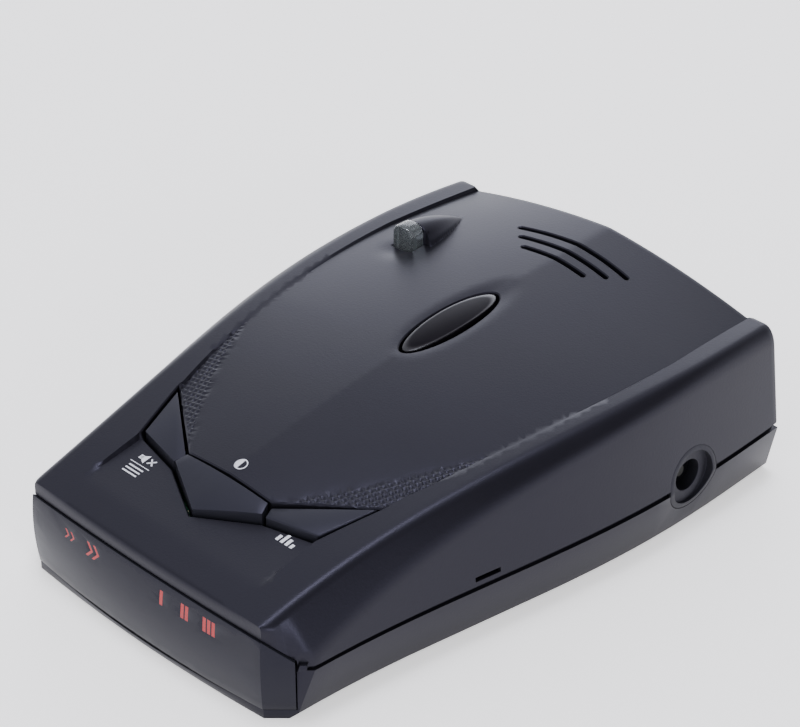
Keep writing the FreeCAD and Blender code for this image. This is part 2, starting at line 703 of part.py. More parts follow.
def latch_plate():
    """Sheet steel latch: a tongue under the bracket guide with an upturned tooth."""
    sheet = box((-4, 4), (64, 92), (LATCH_Z, LATCH_Z + LATCH_SHEET))
    tooth = box((-3, 3), (TOOTH_STATION, TOOTH_STATION + LATCH_SHEET), (LATCH_Z + 0.4, 22.0))
    return sheet.fuse(tooth)


def bracket_guide():
    """Channel behind the windshield-end slot that takes the bracket's tongue."""
    low, high = SLOT_LOW_Z, SLOT_LOW_Z + SLOT_HEIGHT
    outer = box((-12, 12), (GUIDE_START, LENGTH - WALL), (low - GUIDE_WALL, high + GUIDE_WALL))
    inner = box((-SLOT_HALF_WIDTH, SLOT_HALF_WIDTH), (GUIDE_START + 1.5, LENGTH), (low, high))
    tooth_room = box((-3.6, 3.6), (TOOTH_STATION - 0.6, TOOTH_STATION + 1.4), (15, low + 0.5))
    return outer.cut(inner).cut(tooth_room)


def release_spring():
    """Coil spring between the seat and the latch plate."""
    pitch = (LATCH_Z - SPRING_SEAT_Z - SPRING_WIRE - 0.1) / SPRING_TURNS
    helix = Part.makeHelix(pitch, pitch * SPRING_TURNS, SPRING_RADIUS)
    profile = Part.Wire(Part.makeCircle(SPRING_WIRE / 2, Vector(SPRING_RADIUS, 0, 0), Vector(0, 1, 0)))
    spring = Part.Wire(helix.Edges).makePipeShell([profile], True, True)
    spring.translate(Vector(0, BUTTON_STATION, SPRING_SEAT_Z + SPRING_WIRE / 2 + 0.05))
    return spring


def spring_seat():
    """Bar screwed under the two roof posts, which carries the spring."""
    span = (BUTTON_STATION - 3.2, BUTTON_STATION + 3.2)
    return box((-9.2, 9.2), span, (SPRING_SEAT_Z - 1.2, SPRING_SEAT_Z))


def rear_light_pipe():
    """Clear light pipe from the hood down to its photodiode."""
    return light_pipe_form(0.0)


def windshield_lens():
    """Convex laser lens in the windshield end."""
    start = Vector(LASER_LENS_X, LENGTH - LASER_LENS_DEPTH, LASER_LENS_Z)
    barrel = rod(LASER_LENS_RADIUS, start, LASER_LENS_DEPTH, Vector(0, 1, 0))
    ball = Part.makeSphere(LASER_LENS_CURVE, Vector(LASER_LENS_X, LENGTH - LASER_LENS_CURVE, LASER_LENS_Z))
    return barrel.common(ball)


def jack_bezel():
    """Cup let into both cases, which guides the power plug."""
    cup = jack_rod(JACK_BEZEL_RADIUS, JACK_BODY_X, OUTSIDE_X)
    cup = cup.common(upper_envelope().fuse(lower_envelope()))
    cup = cup.cut(jack_rod(JACK_RECESS_RADIUS, JACK_RECESS_FLOOR_X, OUTSIDE_X))
    return cup.cut(jack_rod(JACK_HOLE_RADIUS, 30, OUTSIDE_X))


def power_jack():
    """Power jack body, bored for the plug's barrel."""
    half = JACK_BODY_HALF
    body = box((26.5, JACK_BODY_X), (JACK_STATION - half, JACK_STATION + half),
               (JACK_Z - half, JACK_Z + half))
    return body.cut(jack_rod(JACK_HOLE_RADIUS, JACK_DEPTH_X, OUTSIDE_X))


def jack_pin():
    """Centre contact of the jack."""
    return jack_rod(JACK_PIN_RADIUS, JACK_DEPTH_X, 37.8)


def jack_contact():
    """Leaf contact along the bottom of the jack's bore."""
    low = JACK_Z - JACK_HOLE_RADIUS + 0.2
    return box((29, 36), (JACK_STATION - 1, JACK_STATION + 1), (low, low + 0.3))


def volume_wheel():
    """Thumbwheel with scalloped grips around its rim."""
    centre = Vector(WHEEL_X, WHEEL_STATION, WHEEL_LOW_Z)
    wheel = rod(WHEEL_RADIUS, centre, WHEEL_THICKNESS).cut(rod(SHAFT_RADIUS, centre, WHEEL_THICKNESS))
    reach = WHEEL_RADIUS + 0.25
    notches = []
    for index in range(WHEEL_GRIPS):
        turn = 2 * math.pi * (index + 0.5) / WHEEL_GRIPS
        spot = centre + Vector(reach * math.cos(turn), reach * math.sin(turn), -1)
        notches.append(rod(WHEEL_GRIP_RADIUS, spot, WHEEL_THICKNESS + 2))
    return wheel.cut(Part.makeCompound(notches))


def volume_shaft():
    """Shaft that the thumbwheel turns."""
    length = WHEEL_LOW_Z + WHEEL_THICKNESS - SHAFT_LOW_Z
    return rod(SHAFT_RADIUS, Vector(WHEEL_X, WHEEL_STATION, SHAFT_LOW_Z), length)


def volume_control():
    """Switched potentiometer under the thumbwheel."""
    low = MAIN_BOARD_Z + BOARD_THICKNESS
    centre = Vector(WHEEL_X, WHEEL_STATION, low)
    return rod(4.0, centre, 2.2).cut(rod(2.2, centre + Vector(0, 0, 0.4), 5))


def main_board():
    """Main circuit board, notched for the screw posts and the horn."""
    low, high = MAIN_BOARD_Z, MAIN_BOARD_Z + BOARD_THICKNESS
    half = [(22.5, 9), (22.5, 18.5), (30.5, 18.5), (33.0, 50),
            (34.5, 66), (35.5, 79), (21, 79), (21, 66)]
    board = slab(mirrored(half), low, high)
    for x, y in BOARD_SCREW_SPOTS:
        board = board.cut(rod(1.2, Vector(x, y, low - 1), 4))
    return board.cut(box((31.8, 40), (36.5, 43), (low - 1, high + 1)))


def radio_board():
    """Microwave board behind the horn."""
    return box((-15, 15), (44, 65.5), (9.6, 10.8))


def radio_shield():
    """Folded steel can over the microwave board."""
    outer = box((-13.5, 13.5), (46, 64.5), (10.8, 14.4))
    return outer.cut(box((-13.1, 13.1), (46.4, 64.1), (10.7, 14.0)))


def horn_wire(y, half, low, high):
    """Return one rectangular section of the horn."""
    return section(y, [(half, high), (half, low)])


def horn_antenna():
    """Cast horn, flaring towards the windshield end."""
    outer = [horn_wire(HORN_START, 6.0, 4.2, 11.2), horn_wire(HORN_END, 19.0, 2.9, 17.0)]
    inner = [horn_wire(HORN_START + 2, 4.8, 5.4, 10.0), horn_wire(HORN_END + 0.2, 17.9, 4.1, 15.9)]
    return Part.makeLoft(outer, True, True).cut(Part.makeLoft(inner, True, True))


def display_board():
    """Upright board behind the display."""
    return box((-25, 25), (6.4, 8.0), (2.2, 13.6))


def display_leds():
    """Light sources, one behind each group of icons."""
    return Part.makeCompound([box((x - 1.0, x + 1.0), (5.4, 6.4), (11.6, 13.0)) for x in LED_SPOTS])


def light_mask():
    """Block of light cells that keeps the icons apart."""
    block = box((-24.5, 24.5), (3.2, 5.9), (2.6, 14.0))
    for x in LED_SPOTS:
        block = block.cut(box((x - 2.4, x + 2.4), (3, 6), (10.2, 13.6)))
    return block


def icon_film():
    """Diffusing film between the light cells and the lens."""
    return box((-24.5, 24.5), (2.7, 3.0), (2.6, 14.0))


def key_board():
    """Small board that carries the three key switches."""
    return box((-22, 22), (10.5, 26.5), (KEY_BOARD_Z, KEY_BOARD_Z + BOARD_THICKNESS))


def board_spacers():
    """Pillars between the main board and the key board."""
    low = MAIN_BOARD_Z + BOARD_THICKNESS
    spots = ((-20, 12.5), (20, 12.5), (-20, 24.5), (20, 24.5))
    return Part.makeCompound([rod(1.6, Vector(x, y, low), KEY_BOARD_Z - low) for x, y in spots])


def processor():
    """Processor chip with a row of legs on two sides."""
    low = MAIN_BOARD_Z + BOARD_THICKNESS
    body = box((-5, 5), (28, 38), (low + 0.3, low + 1.8))
    legs = []
    for x in (-4.0, -2.4, -0.8, 0.8, 2.4, 4.0):
        legs.append(box((x - 0.2, x + 0.2), (27.0, 39.0), (low, low + 0.5)))
    return fuse_all([body] + legs)


def capacitors():
    """Three electrolytic cans."""
    low = MAIN_BOARD_Z + BOARD_THICKNESS
    spots = ((11.5, 31), (-11, 29.5), (25.5, 60))
    return Part.makeCompound([rod(2.5, Vector(x, y, low), 3.2) for x, y in spots])


def crystal():
    """Clock crystal in its metal can."""
    low = MAIN_BOARD_Z + BOARD_THICKNESS
    height = 2.6
    middle = box((-15, -8), (37.5, 40.5), (low, low + height))
    return fuse_all([middle] + [rod(1.5, Vector(x, 39, low), height) for x in (-15, -8)])


def voltage_regulator():
    """Voltage regulator with its metal tab."""
    low = MAIN_BOARD_Z + BOARD_THICKNESS
    tab = box((23.6, 28.9), (33.5, 35.5), (low, low + 0.8))
    return box((23, 29.5), (27, 33.5), (low, low + 2.3)).fuse(tab)


def board_header():
    """Pin header that joins the main board to the microwave board."""
    low = MAIN_BOARD_Z + BOARD_THICKNESS
    return box((-8, 8), (58, 60.5), (low, 9.6))


def laser_board():
    """Small board beside the horn for the two laser photodiodes."""
    return box((-35.4, -21), (80, 94), (MAIN_BOARD_Z, MAIN_BOARD_Z + BOARD_THICKNESS))


def pipe_photodiode():
    """Photodiode under the rear light pipe."""
    low = MAIN_BOARD_Z + BOARD_THICKNESS
    return box((PIPE_X - 2, PIPE_X + 2), (PIPE_STATION - 2, PIPE_STATION + 2), (low, 8.7))


def windshield_photodiode():
    """Photodiode and its stand behind the windshield laser lens."""
    low = MAIN_BOARD_Z + BOARD_THICKNESS
    stand = box((LASER_LENS_X - 3, LASER_LENS_X + 3), (90, 92), (low, LASER_LENS_Z + 3))
    return stand.fuse(rod(1.8, Vector(LASER_LENS_X, 92, LASER_LENS_Z), 1.4, Vector(0, 1, 0)))


def speaker_frame():
    """Pressed basket of the speaker."""
    centre = Vector(0, SPEAKER_STATION, SPEAKER_LOW_Z)
    cup = rod(SPEAKER_RADIUS, centre, 3.5).cut(rod(SPEAKER_RADIUS - 0.8, centre + Vector(0, 0, 0.8), 5))
    return cup.cut(rod(MAGNET_RADIUS, centre - Vector(0, 0, 1), 5))


def speaker_magnet():
    """Magnet in the middle of the speaker."""
    return rod(MAGNET_RADIUS, Vector(0, SPEAKER_STATION, 24.3), 2.2)


def speaker_cone():
    """Speaker diaphragm: a shallow cone with a domed cap."""
    centre = Vector(0, SPEAKER_STATION, 26.9)
    outer = Part.makeCone(3.4, SPEAKER_RADIUS - 0.9, 1.6, centre)
    return outer.cut(Part.makeCone(3.0, SPEAKER_RADIUS - 1.1, 1.4, centre + Vector(0, 0, 0.4)))


def case_screws():
    """Four self-tapping screws, with cross recesses in their heads."""
    screws = []
    for x, y in CASE_SCREW_SPOTS:
        head = rod(2.5, Vector(x, y, 0.8), 1.75)
        cross = []
        for wide, deep in ((1.4, 0.3), (0.3, 1.4)):
            cross.append(box((x - wide, x + wide), (y - deep, y + deep), (0.5, 1.7)))
        screws.append(head.fuse(rod(1.25, Vector(x, y, 2.0), 12)).cut(fuse_all(cross)))
    return Part.makeCompound(screws)


def board_screws():
    """Four small screws that hold the main board."""
    low = MAIN_BOARD_Z + BOARD_THICKNESS
    screws = []
    for x, y in BOARD_SCREW_SPOTS:
        screws.append(rod(1.9, Vector(x, y, low), 1.3).fuse(rod(0.9, Vector(x, y, 2.6), low - 2.4)))
    return Part.makeCompound(screws)


def base_label():
    """Blank rating plate in its recess under the case."""
    return box((-18, 18), (40, 70), (0.1, 0.35))


NODES = {
    "upper_case": upper_case, "lower_case": lower_case,
    "display_lens": display_lens, "display_icons": display_icons,
    "left_key": lambda: mirror_x(side_key()), "centre_key": centre_key, "right_key": side_key,
    "left_plunger": lambda: switch_plunger(SWITCH_SPOTS[0]),
    "centre_plunger": lambda: switch_plunger(SWITCH_SPOTS[1]),
    "right_plunger": lambda: switch_plunger(SWITCH_SPOTS[2]), "key_switches": key_switches,
    "release_button": release_button, "latch_plate": latch_plate, "bracket_guide": bracket_guide,
    "release_spring": release_spring, "spring_seat": spring_seat, "rear_light_pipe": rear_light_pipe,
    "windshield_lens": windshield_lens, "jack_bezel": jack_bezel, "power_jack": power_jack,
    "jack_pin": jack_pin, "jack_contact": jack_contact, "volume_wheel": volume_wheel,
    "volume_shaft": volume_shaft,
    "volume_control": volume_control, "main_board": main_board, "radio_board": radio_board,
    "radio_shield": radio_shield, "horn_antenna": horn_antenna, "display_board": display_board,
    "display_leds": display_leds, "light_mask": light_mask, "icon_film": icon_film, "key_board": key_board,
    "board_spacers": board_spacers, "processor": processor, "capacitors": capacitors, "crystal": crystal,
    "voltage_regulator": voltage_regulator, "board_header": board_header, "laser_board": laser_board,
    "pipe_photodiode": pipe_photodiode, "windshield_photodiode": windshield_photodiode,
    "speaker_frame": speaker_frame, "speaker_magnet": speaker_magnet, "speaker_cone": speaker_cone,
    "case_screws": case_screws, "board_screws": board_screws, "base_label": base_label,
}


def main():
    """Make every piece, move it to the shared origin and write it."""
    os.makedirs("parts", exist_ok=True)
    for name, make in NODES.items():
        shape = make()
        shape.translate(Vector(0, FRAME_SHIFT, 0))
        shape.exportStep("parts/" + name + ".step")
        print(name, len(shape.Solids), shape.isValid(), round(shape.Volume, 1), shape.BoundBox)


main()
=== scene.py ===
"""Radar detector: the looks of its case, display, keys, jack and inner parts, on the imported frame."""
import json
import logging
import math
from dataclasses import dataclass
from enum import Enum

import bmesh
import bpy
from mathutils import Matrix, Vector
from mathutils.geometry import delaunay_2d_cdt


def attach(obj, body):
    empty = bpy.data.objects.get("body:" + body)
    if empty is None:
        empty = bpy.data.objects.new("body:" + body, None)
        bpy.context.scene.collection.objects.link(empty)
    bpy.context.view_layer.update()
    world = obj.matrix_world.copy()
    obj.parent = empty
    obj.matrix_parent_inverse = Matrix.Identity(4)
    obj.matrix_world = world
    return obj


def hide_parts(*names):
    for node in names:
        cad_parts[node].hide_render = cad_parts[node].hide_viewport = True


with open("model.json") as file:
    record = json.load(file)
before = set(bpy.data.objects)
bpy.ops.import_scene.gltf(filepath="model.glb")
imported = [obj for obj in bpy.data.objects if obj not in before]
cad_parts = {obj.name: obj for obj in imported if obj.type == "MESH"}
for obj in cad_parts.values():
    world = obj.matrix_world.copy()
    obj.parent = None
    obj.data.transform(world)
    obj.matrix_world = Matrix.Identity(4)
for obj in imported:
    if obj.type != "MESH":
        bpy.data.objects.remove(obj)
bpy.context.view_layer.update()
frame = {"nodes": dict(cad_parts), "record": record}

LOG = logging.getLogger("detector")
MM = 0.001
WELD = 0.002 * MM

Value = float | tuple | str


class Wire:
    """An output socket in a finish's node tree, with Python's arithmetic on it."""

    def __init__(self, recipe: "Recipe", socket: bpy.types.NodeSocket) -> None:
        """Keep the socket and the recipe that it belongs to."""
        self.recipe = recipe
        self.socket = socket

    def maths(self, operation: str, *values: "Wire | float") -> "Wire":
        """Add a Math node.

        Args:
            operation: the node's operation.
            values: its inputs in order.

        Returns:
            The node's result.
        """
        return self.recipe.node("ShaderNodeMath", {"operation": operation}, dict(enumerate(values)))

    def __add__(self, other: "Wire | float") -> "Wire":
        """Return the sum."""
        return self.maths("ADD", self, other)

    def __sub__(self, other: "Wire | float") -> "Wire":
        """Return the difference."""
        return self.maths("SUBTRACT", self, other)

    def __rsub__(self, other: float) -> "Wire":
        """Return a number less this value."""
        return self.maths("SUBTRACT", other, self)

    def __mul__(self, other: "Wire | float") -> "Wire":
        """Return the product."""
        return self.maths("MULTIPLY", self, other)

    def __truediv__(self, other: "Wire | float") -> "Wire":
        """Return the quotient."""
        return self.maths("DIVIDE", self, other)

    def __pow__(self, other: float) -> "Wire":
        """Return the power."""
        return self.maths("POWER", self, other)

    __radd__ = __add__
    __rmul__ = __mul__

    def step(self, low: float, high: float) -> "Wire":
        """Return a smooth step.

        Args:
            low: the value where the step starts at 0.
            high: the value where it reaches 1.

        Returns:
            The stepped value, from 0 to 1.
        """
        return self.recipe.node("ShaderNodeMapRange", {"interpolation_type": "SMOOTHSTEP"},
                                {"Value": self, "From Min": low, "From Max": high})


class Recipe:
    """A material's node tree while it is being put together."""

    def __init__(self, name: str) -> None:
        """Start a material with a Principled shader and object coordinates.

        Args:
            name: the material's name.
        """
        self.material = bpy.data.materials.new(name)
        self.material.use_nodes = True
        self.tree = self.material.node_tree
        self.shader = self.tree.nodes["Principled BSDF"]
        self.place = Wire(self, self.tree.nodes.new("ShaderNodeTexCoord").outputs["Object"])

    def node(self, kind: str, settings: dict, values: dict, output: int | str = 0) -> Wire:
        """Add any node.

        Args:
            kind: the node's type.
            settings: its own settings, set first; "stops" fills a colour ramp.
            values: a value or a wire for each of its sockets, by name or number.
            output: the output to return.

        Returns:
            The chosen output.
        """
        made = self.tree.nodes.new(kind)
        for name, setting in settings.items():
            if name == "stops":
                self.fill_ramp(made.color_ramp, setting)
            else:
                setattr(made, name, setting)
        for name, value in values.items():
            self.feed(made.inputs[name], value)
        return Wire(self, made.outputs[output])

    def fill_ramp(self, ramp: bpy.types.ColorRamp, stops: list[tuple[float, tuple]]) -> None:
        """Set a colour ramp's stops.

        Args:
            ramp: the ramp.
            stops: each stop's position and colour.
        """
        while len(ramp.elements) < len(stops):
            ramp.elements.new(1.0)
        for element, (position, colour) in zip(ramp.elements, stops):
            element.position = position
            element.color = (*colour, 1.0)

    def feed(self, socket: bpy.types.NodeSocket, value: "Wire | Value") -> None:
        """Link a wire to a socket, or set the socket's own value.

        Args:
            socket: the input.
            value: a wire or a constant.
        """
        if isinstance(value, Wire):
            self.tree.links.new(value.socket, socket)
        else:
            socket.default_value = value

    def set(self, **values: "Wire | Value") -> None:
        """Feed the Principled shader's sockets, whose names are written with underscores."""
        for name, value in values.items():
            self.feed(self.shader.inputs[name.replace("_", " ")], value)

    def noise(self, scale: float, detail: float = 3.0, roughness: float = 0.55) -> Wire:
        """Return fractal noise with a scale in cycles per metre."""
        return self.node("ShaderNodeTexNoise", {}, {"Vector": self.place, "Scale": scale, "Detail": detail,
                                                    "Roughness": roughness})

    def cells(self, scale: float) -> Wire:
        """Return the distance to the nearest of scattered points."""
        return self.node("ShaderNodeTexVoronoi", {"feature": "F1"}, {"Vector": self.place, "Scale": scale})

    def axis(self, index: int) -> Wire:
        """Return one object coordinate, in metres."""
        return self.node("ShaderNodeSeparateXYZ", {}, {0: self.place}, index)

    def tint(self, mask: "Wire | float", low: "Wire | tuple", high: "Wire | tuple") -> Wire:
        """Mix two colours by a mask."""
        return self.node("ShaderNodeMix", {"data_type": "RGBA"}, {0: mask, 6: low, 7: high}, 2)

    def bump(self, height: Wire, distance: float) -> Wire:
        """Return a normal bumped by a height in units of the distance."""
        return self.node("ShaderNodeBump", {}, {"Height": height, "Distance": distance, "Strength": 1.0})


def shade(colour: tuple[float, float, float], share: float) -> tuple[float, float, float, float]:
    """Return an opaque colour, lightened or darkened by a share.

    Args:
        colour: red, green and blue.
        share: what each is multiplied by.

    Returns:
        The colour with its alpha.
    """
    return tuple(channel * share for channel in colour[:3]) + (1.0,)


class Finish:
    """A finish that can be put on a piece."""

    def material(self) -> bpy.types.Material:
        """Return the finish's material, made once."""
        name = f"{type(self).__name__}_{abs(hash(self)) % 10 ** 8}"
        return bpy.data.materials.get(name) or self.mix(Recipe(name))

    def mix(self, recipe: Recipe) -> bpy.types.Material:
        """Fill in the recipe and return its material."""
        raise NotImplementedError

    def dress(self, piece: bpy.types.Object) -> None:
        """Put the finish on every slot of a piece.

        Args:
            piece: the piece.
        """
        if not piece.material_slots:
            piece.data.materials.append(None)
        for slot in piece.material_slots:
            slot.material = self.material()


@dataclass(frozen=True)
class MouldedPlastic(Finish):
    """Plastic from a spark-eroded mould: fine grain, faint flow marks and a soft sheen."""

    colour: tuple[float, float, float] = (0.0060, 0.0056, 0.0070)
    roughness: float = 0.38
    sheen: tuple[float, float, float] = (0.75, 0.73, 1.0)
    gloss: float = 0.26
    grain: float = 3600.0
    depth: float = 0.000012

    def mix(self, recipe: Recipe) -> bpy.types.Material:
        """Lay fine grain over slow changes of tone.

        Args:
            recipe: the material's tree.

        Returns:
            The finished material.
        """
        fine = recipe.noise(self.grain, 2.0, 0.6)
        slow = recipe.noise(45.0, 4.0)
        patch = slow * 0.7 + fine * 0.3
        recipe.set(Specular_Tint=shade(self.sheen, 1.0), Specular_IOR_Level=self.gloss,
                   Base_Color=recipe.tint(patch, shade(self.colour, 0.8), shade(self.colour, 1.25)),
                   Roughness=self.roughness - 0.05 + slow * 0.06 + fine * 0.05,
                   Normal=recipe.bump(fine + recipe.cells(self.grain * 0.6) * 0.5, self.depth))
        return recipe.material


@dataclass(frozen=True)
class ClearAcrylic(Finish):
    """Polished clear or tinted acrylic."""

    colour: tuple[float, float, float] = (0.84, 0.90, 0.90)
    roughness: float = 0.015
    clarity: float = 0.95

    def mix(self, recipe: Recipe) -> bpy.types.Material:
        """Let light through, with faint ripples and fingermarks.

        Args:
            recipe: the material's tree.

        Returns:
            The finished material.
        """
        marks = recipe.noise(260.0, 5.0)
        recipe.shader.inputs["Transmission Weight"].default_value = self.clarity
        recipe.shader.inputs["IOR"].default_value = 1.49
        recipe.set(Base_Color=recipe.tint(marks, shade(self.colour, 0.96), shade(self.colour, 1.0)),
                   Roughness=self.roughness + marks * 0.02,
                   Normal=recipe.bump(recipe.noise(180.0, 1.0), 0.000002))
        return recipe.material


@dataclass(frozen=True)
class LitWindow(Finish):
    """Icon window with light behind it."""

    colour: tuple[float, float, float] = (1.0, 0.010, 0.016)
    glow: float = 0.20

    def mix(self, recipe: Recipe) -> bpy.types.Material:
        """Glow a little unevenly, as through diffusing film.

        Args:
            recipe: the material's tree.

        Returns:
            The finished material.
        """
        patch = recipe.noise(900.0, 2.0)
        tone = recipe.tint(patch, shade(self.colour, 0.8), shade(self.colour, 1.0))
        recipe.shader.inputs["Emission Strength"].default_value = self.glow
        recipe.set(Base_Color=recipe.tint(patch, shade(self.colour, 0.20), shade(self.colour, 0.26)),
                   Emission_Color=tone, Roughness=0.2 + patch * 0.1, Normal=recipe.bump(patch, 0.00001))
        return recipe.material


@dataclass(frozen=True)
class Metal(Finish):
    """Bare metal with a drawn or cast surface."""

    colour: tuple[float, float, float] = (0.6, 0.6, 0.61)
    roughness: float = 0.3
    grain: float = 900.0

    def mix(self, recipe: Recipe) -> bpy.types.Material:
        """Vary tone and gloss with the grain.

        Args:
            recipe: the material's tree.

        Returns:
            The finished material.
        """
        grain = recipe.noise(self.grain, 4.0, 0.65)
        tone = recipe.tint(grain, shade(self.colour, 0.75), shade(self.colour, 1.1))
        recipe.set(Metallic=1.0, Base_Color=tone,
                   Roughness=self.roughness + grain * 0.2, Normal=recipe.bump(grain, 0.00001))
        return recipe.material


@dataclass(frozen=True)
class CircuitBoard(Finish):
    """Solder mask over copper tracks."""

    def mix(self, recipe: Recipe) -> bpy.types.Material:
        """Draw tracks as brick courses with a noise of vias.

        Args:
            recipe: the material's tree.

        Returns:
            The finished material.
        """
        bricks = {"Vector": recipe.place, "Scale": 420.0, "Mortar Size": 0.03}
        tracks = recipe.node("ShaderNodeTexBrick", {}, bricks, 1)
        vias = 1 - recipe.cells(500.0).step(0.12, 0.16)
        mask = recipe.tint(tracks, (0.01, 0.10, 0.04, 1.0), (0.03, 0.20, 0.08, 1.0))
        recipe.set(Base_Color=recipe.tint(vias, mask, (0.7, 0.62, 0.4, 1.0)), Roughness=0.35 + vias * 0.1,
                   Normal=recipe.bump(tracks + vias, 0.00002))
        return recipe.material


class Shelf(Enum):
    """The finishes by the record's material slot."""

    case_black = MouldedPlastic()
    trim_black = MouldedPlastic(colour=(0.008, 0.008, 0.009), roughness=0.5)
    key_satin = MouldedPlastic(colour=(0.012, 0.012, 0.015), roughness=0.36, depth=0.000006)
    smoked_lens = MouldedPlastic(colour=(0.008, 0.008, 0.010), roughness=0.20, depth=0.000002, gloss=0.2)
    icon_red = LitWindow()
    clear_acrylic = ClearAcrylic()
    laser_lens = MouldedPlastic(colour=(0.05, 0.006, 0.010), roughness=0.08, depth=0.000002)
    diffuser = MouldedPlastic(colour=(0.75, 0.75, 0.72), roughness=0.6)
    circuit_board = CircuitBoard()
    cast_zinc = Metal(colour=(0.60, 0.60, 0.58), roughness=0.45, grain=1500.0)
    sheet_steel = Metal()
    spring_steel = Metal(colour=(0.5, 0.5, 0.5), roughness=0.25)
    screw_steel = Metal(colour=(0.05, 0.05, 0.055), roughness=0.35)
    contact_metal = Metal(colour=(0.05, 0.05, 0.048), roughness=0.5, grain=2500.0)
    shaft_steel = Metal(roughness=0.25)
    chip_black = MouldedPlastic(colour=(0.025, 0.025, 0.026), roughness=0.55)
    plunger_white = MouldedPlastic(colour=(0.7, 0.7, 0.66), roughness=0.45)
    led_red = MouldedPlastic(colour=(0.6, 0.03, 0.02), roughness=0.15, depth=0.000002)
    can_aluminium = Metal(colour=(0.7, 0.7, 0.72), roughness=0.3)
    magnet_grey = MouldedPlastic(colour=(0.09, 0.09, 0.10), roughness=0.6)
    cone_paper = MouldedPlastic(colour=(0.05, 0.05, 0.05), roughness=0.85, grain=1800.0, depth=0.00004)
    label_silver = Metal(colour=(0.6, 0.61, 0.63), roughness=0.4)


class Bench:
    """Modelling steps that the pieces share, done with Blender's operators."""

    @staticmethod
    def hold(piece: bpy.types.Object) -> None:
        """Select one piece alone and make it active.

        Args:
            piece: the piece.
        """
        bpy.ops.object.select_all(action="DESELECT")
        piece.select_set(True)
        bpy.context.view_layer.objects.active = piece

    @staticmethod
    def modify(piece: bpy.types.Object, kind: str, **settings: object) -> None:
        """Add a modifier, set it up and apply it.

        Args:
            piece: the piece.
            kind: the modifier's type.
            settings: its settings.
        """
        Bench.hold(piece)
        modifier = piece.modifiers.new(kind.lower(), kind)
        for name, value in settings.items():
            setattr(modifier, name, value)
        bpy.ops.object.modifier_apply(modifier=modifier.name)

    @staticmethod
    def smooth(piece: bpy.types.Object, angle: float) -> None:
        """Shade a piece smooth, except across edges sharper than an angle in degrees."""
        Bench.hold(piece)
        bpy.ops.object.shade_smooth_by_angle(angle=math.radians(angle))

    @staticmethod
    def settle(piece: bpy.types.Object) -> None:
        """Apply a piece's place, turn and scale to its mesh."""
        Bench.hold(piece)
        bpy.ops.object.transform_apply(location=True, rotation=True, scale=True)

    @staticmethod
    def join(pieces: list[bpy.types.Object], name: str) -> bpy.types.Object:
        """Join pieces into one and name it.

        Args:
            pieces: the pieces.
            name: the joined piece's name.

        Returns:
            The joined piece.
        """
        bpy.ops.object.select_all(action="DESELECT")
        for piece in pieces:
            piece.select_set(True)
        bpy.context.view_layer.objects.active = pieces[0]
        bpy.ops.object.join()
        joined = bpy.context.object
        joined.name = joined.data.name = name
        return joined

    @staticmethod
    def hand_over(piece: bpy.types.Object, body: str, slot: str, finish: Finish, *replaced: str) -> None:
        """Tie a finished piece to the frame and dress it.

        Args:
            piece: the piece.
            body: the body that it rides on.
            slot: the record's material slot; not used.
            finish: the finish.
            replaced: the CAD nodes that it stands for.
        """
        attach(piece, body)
        if replaced:
            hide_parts(*replaced)
        finish.dress(piece)
        LOG.info("%s: %d faces", piece.name, len(piece.data.polygons))

    @staticmethod
    def soften(node: str, width: float, finish: Finish | None = None) -> bpy.types.Object:
        """Replace a CAD node with a copy whose edges are rounded.

        Args:
            node: the CAD node.
            width: the width of the rounding, in millimetres.
            finish: the finish, or the one of the node's own slot.

        Returns:
            The rounded piece.
        """
        record = frame["record"]
        body = next(name for name, nodes in record["behaviour"]["bodies"].items() if node in nodes)
        slot = next(entry["material_slot"] for entry in record["subparts"] if entry["node"] == node)
        piece = Bench.copy_node(node, f"{node}_skin")
        Bench.modify(piece, "BEVEL", width=width * MM, segments=3, limit_method="ANGLE",
                     angle_limit=math.radians(24), use_clamp_overlap=True)
        Bench.smooth(piece, 30.0)
        Bench.hand_over(piece, body, slot, finish or Shelf[slot].value, node)
        return piece

    @staticmethod
    def carve(piece: bpy.types.Object, cutter: bpy.types.Object) -> None:
        """Cut a cutter's shape out of a piece and throw the cutter away.

        Args:
            piece: the piece.
            cutter: the shape that is taken out.
        """
        Bench.settle(cutter)
        Bench.modify(piece, "BOOLEAN", object=cutter, operation="DIFFERENCE", solver="EXACT")
        bpy.data.objects.remove(cutter)

    @staticmethod
    def copy_node(node: str, name: str) -> bpy.types.Object:
        """Return a merged copy of a CAD node with its flat faces joined.

        Args:
            node: the CAD node.
            name: the copy's name.

        Returns:
            The copy.
        """
        source = frame["nodes"][node]
        piece = bpy.data.objects.new(name, source.data.copy())
        bpy.context.collection.objects.link(piece)
        mesh = bmesh.new()
        mesh.from_mesh(piece.data)
        bmesh.ops.remove_doubles(mesh, verts=mesh.verts, dist=WELD)
        bmesh.ops.dissolve_limit(mesh, angle_limit=math.radians(0.6), verts=mesh.verts, edges=mesh.edges)
        mesh.to_mesh(piece.data)
        mesh.free()
        Bench.hold(piece)
        if piece.data.has_custom_normals:
            bpy.ops.mesh.customdata_custom_splitnormals_clear()
        return piece


Point = tuple[float, float, float]
Spot = tuple[float, float]


def ease(share: float) -> float:
    """Return a smooth step of a share, held between 0 and 1.

    Args:
        share: the share.

    Returns:
        The eased share.
    """
    return (1 - math.cos(math.pi * min(1.0, max(0.0, share)))) / 2


def spread(low: float, high: float, count: int) -> list[float]:
    """Return evenly spaced numbers, both ends among them.

    Args:
        low: the first.
        high: the last.
        count: how many.

    Returns:
        The numbers.
    """
    return [low + (high - low) * index / (count - 1) for index in range(count)]


